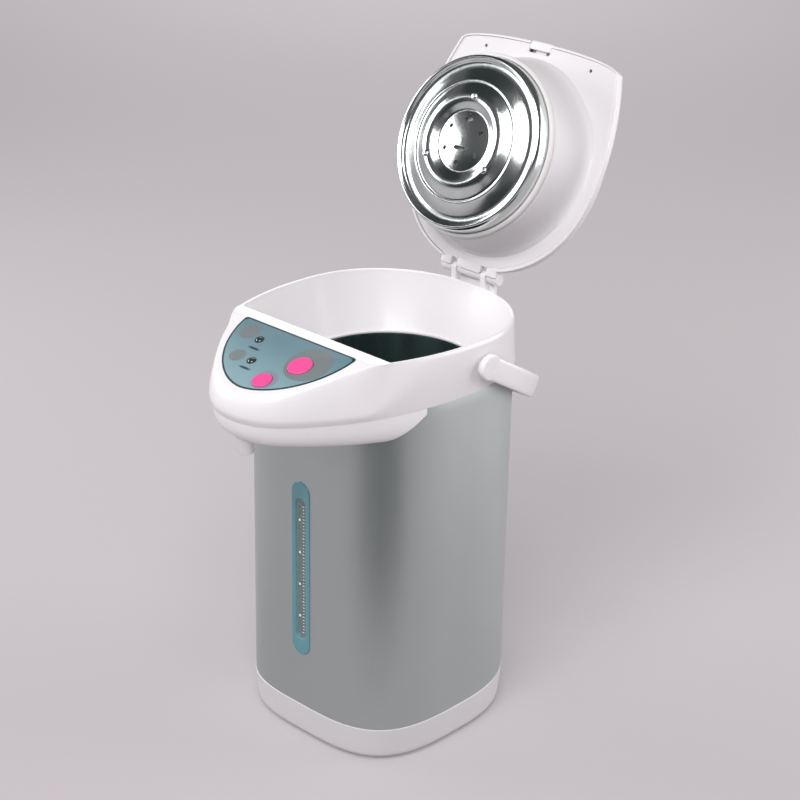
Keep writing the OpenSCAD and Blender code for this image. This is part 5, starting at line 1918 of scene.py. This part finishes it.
        base = self.around(edge, flare(lr + 11.6, 5.0), 0.0)
        base[:, 2] = self.at(base[:, 1]) + 1.2
        rings = [self.ring(0.7 + self.wall, 3.6), self.ring(0.7 + self.wall, 1.5), edge]
        ledge = self.ring(5.2, 1.2)
        start = ledge - [0, 0, 0.3]
        rings += [self.ring(2.0 + self.wall, 1.2), self.ring(2.5 + self.wall, 0.9), start]
        share = np.array([0.3, 0.6, 0.85, 1.0])
        rings += HeadForm.between(start, base, share, share)
        for radius, more, depth in ((10.6, 3.6, 6.4), (9.6, 2.4, 8.4), (8.8, 1.5, 11.0), (8.0, 0.9, 14.5),
                                    (7.1, 0.5, 19.0), (6.2, 0.2, 27.0), (5.5, 0.0, 35.0), (4.9, 0.0, 41.0),
                                    (4.5, 0.0, 43.6), (3.9, 0.0, 45.2), (2.5, 0.0, 46.0)):
            rings.append(self.around(edge, flare(lr + radius, more), depth))
        rings.append(self.around(edge, 0.0, 46.0))
        back = [self.around(edge, 0.0, 43.0), self.around(edge, lr + 2, 43.0),
                self.around(edge, lr + 4, 20.0),
                self.around(edge, lr + 6.8, 3.0), self.ring(9.0, 3.6)]
        shell = Shell.grid(np.array(rings[::-1] + [self.ring(0.7 + self.wall, 3.6)] + back[::-1]))
        piece = Piece("lid_inner", shell.moved(S.on_lid), 40).cut(self.hinge_notch(), self.latch_slot())
        hole = revolve(drilled(1.6, -6, 6), loop=False, around=32)
        y = S.hinge_y - 199
        piece.cut(join(hole.moved(lambda p, x=x: p + [x, y, self.at(y)]).moved(S.on_lid)
                       for x in (-61.0, 61.0)))
        piece.dress(Body.LID, WHITE_INNER_PAINTED_SHADE, "white_matte", "lid_inner")
        self.lugs()

    def lugs(self) -> None:
        """Hinge barrels, each with the web that joins it to the lid; outer ends run 0.4 mm longer."""
        lugs = []
        for x0, x1 in ((-14.0, 14.0), (21.0, 33.0), (-33.0, -21.0)):
            ahead, behind = 0.4 if x0 > 0 else 0.0, 0.4 if x1 < 0 else 0.0
            drum = disc_profile(5.5, x0 - behind, x1 + ahead, 0.9)
            lugs += [revolve(drum, loop=False, around=64).moved(on_hinge),
                     rounded_box((x0, S.hinge_y - 11, S.hinge_z - 8),
                                 (x1, S.hinge_y - 0.5, S.hinge_z - 5.2), 0.5),
                     rounded_box((x0, S.hinge_y - 7.4, S.hinge_z - 7.9),
                                 (x1, S.hinge_y - 0.9, S.hinge_z - 1.6), 0.6)]
        Piece("lid_hinge_lugs", join(lugs).moved(S.on_lid)).dress(Body.LID, WHITE_LID_PAINTED_SHADE, "white_matte")

    def turned(self, profile: Sequence[Sequence[float]], loop: bool = True, around: int = 160) -> Shell:
        """A turned part of the closed lid from (radius, depth below the hinge), swung open."""
        p = np.array([(r, -d) for r, d in profile], float)
        return revolve(p, (0, self.plug_y, S.hinge_z), around, loop).moved(S.on_lid)

    def seal(self) -> None:
        """Pale seal with a soft lip round the liner's side."""
        r, s = self.liner_r, self.seat
        section = rounded([(r + 0.05, s - 2.8), (r + 3.2, s - 2.8), (r + 4.0, s - 1.4), (r + 3.9, s + 0.6),
                           (r + 2.6, s + 2.0), (r + 0.05, s + 2.0)], 2, closed=True)
        Piece("lid_gasket", self.turned(section)).dress(Body.LID, SEAL, "seal_rubber", "lid_gasket")

    def liner(self) -> None:
        """Steel liner: rolled rim, flat band, step, dish with one bead and a raised middle."""
        r, d = self.liner_r, self.liner_depth
        corners = [(r, self.seat + 0.3), (r, d - 6.5), (r - 0.3, d - 2.6), (r - 1.7, d - 0.2),
                   (r - 3.8, d + 0.3),
                   (r - 5.6, d - 0.9), (r - 6.8, d - 2.6), (r - 8.6, d - 3.2), (r - 12.4, d - 3.2),
                   (r - 14.2, d - 2.6), (r - 18.5, d - 0.9), (r - 22.6, d + 1.0), (r - 23.9, d + 1.9),
                   (r - 25.2, d + 1.9), (r - 27.0, d + 1.6), (r - 31.0, d + 3.6), (r - 36.0, d + 6.3),
                   (r - 40.0, d + 7.3), (r - 44.0, d + 6.5), (r - 48.0, d + 4.4), (r - 50.6, d + 3.0),
                   (r - 52.2, d + 2.9), (r - 54.5, d + 3.5), (r - 62.0, d + 5.0), (r - 70.0, d + 5.9),
                   (0.0, d + 6.3)]
        face = rounded(corners, 3)
        back = face[::-1] - [0, 0.8]
        back[:, 0] = np.maximum(back[:, 0] - np.where(back[:, 1] < d - 3, 0.8, 0.0) * (back[:, 0] > r - 3), 0)
        piece = Piece("lid_liner", self.turned(np.concatenate([face, back]), around=200), 45)
        drill = revolve(drilled(2.2, -8, 8), loop=False, around=32)
        place = S.hinge_z - d - 6

        def spot(shell: Shell, x: float, y: float) -> Shell:
            """The shell on the liner's face, x and y from its axis."""
            return shell.moved(lambda p: p + [x, self.plug_y + y, place]).moved(S.on_lid)

        holes = join(spot(drill, 20 * math.cos(angle), 20 * math.sin(angle))
                     for angle in np.radians((-30, 30, 90, 150, 210)))
        a = np.linspace(0, 2 * np.pi, 48, endpoint=False)
        lobes = 3.6 + 0.9 * np.cos(4 * a)
        clover = prism(np.stack([lobes * np.cos(a), lobes * np.sin(a)], 1), -8, 8)
        slot = prism(stadium(3.6, -6.3, 6.3)[:, ::-1], -8, 8)
        piece.cut(holes + spot(clover, 0, -20) + spot(slot, 0, 7))
        piece.dress(Body.LID, MIRROR, "mirror_steel", "lid_liner")
        plate = [(0.0, d - 4.0), (r - 36, d - 4.0), (r - 36, d - 3.4), (0.0, d - 3.4)]
        Piece("liner_back", self.turned(plate, loop=False)).dress(Body.LID, WHITE_MATTE, "white_matte")

    def screws(self) -> None:
        """Three pan heads with cross recesses, their shanks behind them."""
        seat = self.liner_depth + 6.5
        head = np.concatenate([[(0, seat - 12), (1.5, seat - 12), (1.5, seat), (3.2, seat)],
                               [(3.2 * math.cos(t) ** 0.8, seat + 0.5 + 1.1 * math.sin(t))
                                for t in np.linspace(0, np.pi / 2, 10)]])
        p = np.array([(q, -e) for q, e in head])
        one = revolve(p, loop=False, around=40)
        arm, half = 2.0, 0.36
        plus = np.array([(arm, -half), (arm, half), (half, half), (half, arm), (-half, arm), (-half, half),
                         (-arm, half), (-arm, -half), (-half, -half), (-half, -arm), (half, -arm),
                         (half, -half)])
        recess = prism(plus, -seat - 2.4, -seat - 0.9)
        reach = self.liner_r / 2
        spots = [[reach * math.cos(t), self.plug_y + reach * math.sin(t), S.hinge_z]
                 for t in np.radians((30, 150, 270))]

        def spread(shell: Shell) -> Shell:
            """The shell at all three places, swung open."""
            return join(shell.moved(lambda q, t=t: q + t).moved(S.on_lid) for t in spots)

        Piece("liner_screws", spread(one)).cut(spread(recess)).dress(
            Body.LID, BRIGHT, "bright_steel", "liner_screws")

    def vent(self) -> None:
        """Round steam grille on the crown, with seven slots."""
        base = self.at(self.vent_y) + self.dome
        r = self.vent_r
        section = [(0, -2), (r - 2, -2), (r - 2, -14), (r, -14), (r, -0.1), (r + 1.7, -0.1), (r + 2, 0.1),
                   (r + 2, 0.6), (r + 1.7, 0.9), (r + 1.1, 1.1), (0, 1.1)]
        body = revolve(np.array(section), around=96, loop=False)
        slots = join(rounded_box((4 * k - 0.9, -10 + abs(k), -4), (4 * k + 0.9, 10 - abs(k), 3), 0.3)
                     for k in range(-3, 4))
        tilt = -math.degrees(math.atan(S.rim_rise))

        def place(p: Array) -> Array:
            """The crown's middle on the open lid."""
            return S.on_lid(turn_x(p, tilt, 0, 0) + [0, self.vent_y, base])

        Piece("steam_vent", body.moved(place)).cut(slots.moved(place)).dress(
            Body.LID, WHITE_MATTE, "white_matte", "steam_vent")

    def latch(self) -> None:
        """Sliding latch: a rounded thumb block and its flat stem."""
        y, z = self.latch_at
        block = rounded_box((-self.latch_w / 2, y, z), (self.latch_w / 2, y + 8, z + 6), 1.1)
        stem = rounded_box((-self.latch_w / 4, y + 7, z + 3.4), (self.latch_w / 4, y + 22, z + 5.8), 0.3)
        Piece("lid_latch", (block + stem).moved(S.on_lid)).dress(
            Body.LATCH, WHITE_LID_PAINTED_SHADE, "white_gloss", "lid_latch")
        half = self.latch_w / 2 + 0.3
        floor = rounded_box((-half, y + 6.5, z + 6.3), (half, y + 11.2, z + 7.2), 0.2)
        Piece("latch_pocket", floor.moved(S.on_lid)).dress(Body.LID, WHITE_INNER_PAINTED_SHADE, "white_matte")


@dataclass
class Bail:
    """Carrying handle: round ends, flat arms and a bowed grip."""

    rest: float = 30.5
    gap: float = 2.5
    grip: float = 11.9
    arm_t: float = 6.0
    arm_w: float = 20.5
    end_r: float = 11.45
    straight: float = 30.0

    def build(self) -> None:
        """A rounded section carried along the bow, thicker at the grip, with two round ends."""
        x_in = S.rim_w_mid + 0.8
        rest = math.radians(self.rest)
        reach = (S.body_d + self.gap + self.arm_w / 2 * math.sin(rest) - S.bail_y) / math.cos(rest)
        inner, outer = self.bow(x_in, reach), self.bow(x_in + self.arm_t, reach + self.grip)
        a = np.linspace(0, 2 * np.pi, 40, endpoint=False)
        power = 0.45
        across, up = powered(np.cos(a), power), powered(np.sin(a), power)
        mid, half = (inner + outer) / 2, (outer - inner) / 2
        rings = []
        for m, h in zip(mid, half):
            flat = m[None] + h[None] * across[:, None]
            rings.append(np.column_stack([flat, up * self.arm_w / 2]))
        start, stop = (np.repeat(ring.mean(0)[None], len(a), 0) for ring in (rings[0], rings[-1]))
        bow = Shell.grid(np.array([start, *rings, stop]))

        def place(p: Array) -> Array:
            """The lowered bail about its studs."""
            return turn_x(p, -self.rest, 0, 0) + [0, S.bail_y, S.bail_z]

        whole = bow + self.end(-1, x_in) + self.end(1, x_in)
        Piece("handle", whole.moved(place), 40).dress(Body.BAIL, WHITE, "white_gloss", "handle")

    def end(self, side: int, x_in: float) -> Shell:
        """Round end of an arm with a domed outer face and a blind bore for its stud.

        Args:
            side: 1 for the right arm, -1 for the left.
            x_in: Where its inner face lies.

        Returns:
            The closed end.
        """
        profile = disc_profile(self.end_r, x_in + 0.13, x_in + self.arm_t - 0.27, 1.5, 0.25)
        bore = [(0, x_in + 4.5), (4.05, x_in + 4.5), (4.05, x_in + 0.13)]
        return revolve(np.concatenate([bore, profile[1:]]), loop=False, around=72).moved(
            lambda p: lying_x(p) * [side, 1, 1])

    def bow(self, half: float, length: float) -> Array:
        """Straight arms, then a superellipse bow of power 2.2, from one end to the other.

        Args:
            half: Half width between the arms.
            length: Reach of the bow's middle.

        Returns:
            Points (x, reach).
        """
        a = np.linspace(0, np.pi / 2, 60)[1:]
        p = 2 / 2.2
        arm = np.stack([np.full(12, half), np.linspace(5, self.straight, 12)], 1)
        curve = np.stack([half * np.cos(a) ** p,
                          self.straight + (length - self.straight) * np.sin(a) ** p], 1)
        curve[-1, 0] = 0
        side = np.concatenate([arm, curve])
        return np.concatenate([side, (side * [-1, 1])[-2::-1]])


class Carried:
    """Nodes that keep their solid's shape and get a finish."""

    def build(self) -> None:
        """Dresses every carried node."""
        plan: dict[Finish, tuple[str, ...]] = {
            WHITE_MATTE: ("bottom_cover", "swivel_base", "pot_ring", "riser_pipe"),
            WHITE_LID_PAINTED_SHADE: ("hinge_pin",),
            BRIGHT: ("bottom_screws", "swivel_clip", "handle_studs"),
            PADS: ("swivel_pads",),
            HEATER: ("heater_plate",),
            SHIELD: ("heat_shield",),
            CREAM: ("thermostats", "inlet_hose", "outlet_hose", "pump_housing"),
            DARK: ("pump_impeller", "pump_motor", "key_switches", "power_inlet"),
            GREEN: ("control_board", "main_board"),
        }
        for finish, nodes in plan.items():
            for node in nodes:
                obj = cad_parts[node]
                obj.data.materials.clear()
                obj.data.materials.append(finish.material())
                log.info("node %s: %s", node, finish.name)


@dataclass
class Studio:
    """Floor, soft boxes, world and camera."""

    eye: tuple[float, float, float] = (1171.068, -1232.148, 1053.068)
    right: tuple[float, float, float] = (0.72364676, 0.68995858, 0.01710363)
    upward: tuple[float, float, float] = (-0.29051004, 0.28202805, 0.91436541)
    back: tuple[float, float, float] = (0.62605055, -0.66664634, 0.40452858)
    focal_px: float = 2094.1
    image_px: float = 800.0
    sensor: float = 36.0
    level: float = 0.22
    seen_level: float = 0.6
    glossy_level: float = 0.1
    floor_half: float = 12.0

    def build(self) -> None:
        """Builds everything that isn't the pot."""
        self.floor()
        self.world()
        self.box("left_box", (-1325, -500, 800), (0, 0, 420), (1150, 600), 11)
        self.box("right_box", (950, 1150, 600), (0, 0, 240), (1100, 1100), 12)
        self.box("front_box", (700, -1350, 2050), (0, 0, 280), (1700, 1500), 50)
        self.box("back_box", (-2000, 2100, 1400), (-2000, 2100, 0), (1200, 1200), 20)
        self.flag("near_flag", (560, -600, 3), (0, 0, 1), (780, 900), -46.8)
        self.flag("front_flag", (-600, -1500, 520), (0.25, 0.92, -0.3), (1500, 760), 0)
        self.flag("upper_flag", (-900, -150, 1750), (0.58, 0.16, -0.8), (1200, 900), 0)
        self.camera()

    def floor(self) -> None:
        """A wide level sheet at height zero, its half side in metres."""
        mesh = bpy.data.meshes.new("floor")
        r = self.floor_half
        mesh.from_pydata([(-r, -r, 0), (r, -r, 0), (r, r, 0), (-r, r, 0)], [], [(0, 1, 2, 3)])
        obj = linked("floor", mesh)
        mesh.materials.append(Floor("floor_sheet").material())

    def world(self) -> None:
        """Even pale world light; the camera sees it as bright as the floor."""
        world = bpy.data.worlds.new("studio")
        world.use_nodes = True
        tree = world.node_tree
        shade = tree.nodes["Background"]
        shade.inputs["Color"].default_value = (0.97, 0.95, 0.97, 1)
        path = tree.nodes.new("ShaderNodeLightPath")
        last: Any = None
        for ray, seen in (("Is Camera Ray", self.seen_level), ("Is Glossy Ray", self.glossy_level)):
            step = tree.nodes.new("ShaderNodeMath")
            step.operation = "MULTIPLY_ADD"
            tree.links.new(path.outputs[ray], step.inputs[0])
            step.inputs[1].default_value, step.inputs[2].default_value = seen - self.level, self.level
            if last:
                tree.links.new(last, step.inputs[2])
            last = step.outputs[0]
        tree.links.new(last, shade.inputs["Strength"])
        bpy.context.scene.world = world

    def box(self, name: str, at: Sequence[float], aim: Sequence[float], size: Sequence[float],
            power: float) -> None:
        """A soft box: an area light that faces its aim.

        Args:
            name: The lamp's name.
            at: Place in millimetres.
            aim: Point that it faces.
            size: Width and height in millimetres.
            power: Power in watts.
        """
        lamp = bpy.data.lights.new(name, "AREA")
        lamp.shape = "RECTANGLE"
        lamp.size, lamp.size_y = size[0] * MM, size[1] * MM
        lamp.energy = power
        lamp.color = (1.0, 0.985, 0.995)
        obj = linked(name, lamp)
        obj.matrix_world = self.matrix(*self.facing(np.asarray(at, float) - np.asarray(aim, float)), at)
        obj.visible_camera = False

    def flag(self, name: str, at: Sequence[float], facing: Sequence[float], size: Sequence[float],
             turn: float) -> None:
        """A dark card that only reflections see, as is set beside polished metal.

        Args:
            name: The card's name.
            at: Its middle.
            facing: The direction of its front.
            size: Width and height.
            turn: Degrees about its own front.
        """
        x, y, _ = self.facing(np.asarray(facing, float))
        a = math.radians(turn)
        x, y = x * math.cos(a) + y * math.sin(a), y * math.cos(a) - x * math.sin(a)
        corners = [np.asarray(at) + i * x * size[0] / 2 + j * y * size[1] / 2
                   for i, j in ((-1, -1), (1, -1), (1, 1), (-1, 1))]
        mesh = bpy.data.meshes.new(name)
        mesh.from_pydata(np.array(corners) * MM, [], [(0, 1, 2, 3)])
        obj = linked(name, mesh)
        mesh.materials.append(Flag("flag_cloth").material())
        obj.visible_camera = obj.visible_diffuse = obj.visible_shadow = False

    @staticmethod
    def facing(front: Array) -> tuple[Array, Array, Array]:
        """Axes of something whose +Z looks along front, its X level.

        Args:
            front: The direction, of any length.

        Returns:
            The unit axes x, y and z.
        """
        z = front / np.linalg.norm(front)
        x = np.cross([0, 0, 1] if abs(z[2]) < 0.99 else [0, 1, 0], z)
        x /= np.linalg.norm(x)
        return x, np.cross(z, x), z

    @staticmethod
    def matrix(x: Sequence[float], y: Sequence[float], z: Sequence[float], at: Sequence[float]) -> Matrix:
        """Matrix with the given axes and a place in millimetres.

        Args:
            x: First axis.
            y: Second axis.
            z: Third axis.
            at: The place.

        Returns:
            The matrix.
        """
        m = np.eye(4)
        m[:3, 0], m[:3, 1], m[:3, 2], m[:3, 3] = x, y, z, np.asarray(at, float) * MM
        return Matrix(m.tolist())

    def camera(self) -> None:
        """Camera whose lens is focal pixels / picture width x sensor width."""
        cam = bpy.data.cameras.new("camera")
        cam.sensor_width = self.sensor
        cam.lens = self.focal_px / self.image_px * self.sensor
        cam.clip_end = 50.0
        obj = linked("camera", cam)
        obj.matrix_world = self.matrix(self.right, self.upward, self.back, self.eye)
        bpy.context.scene.camera = obj


def main() -> None:
    """Builds the sub-assemblies in order, then the studio."""
    logging.basicConfig(level=logging.INFO, format="%(name)s: %(message)s")
    parts = (Foot(), Jacket(), Gauge(), Vessel(), Head(), Panel(), Bail(), Lid(), Carried(), Studio())
    for part in parts:
        log.info("building %s", type(part).__name__)
        part.build()
    bpy.context.scene.view_settings.view_transform = "Standard"


if __name__ == "__main__":
    main()
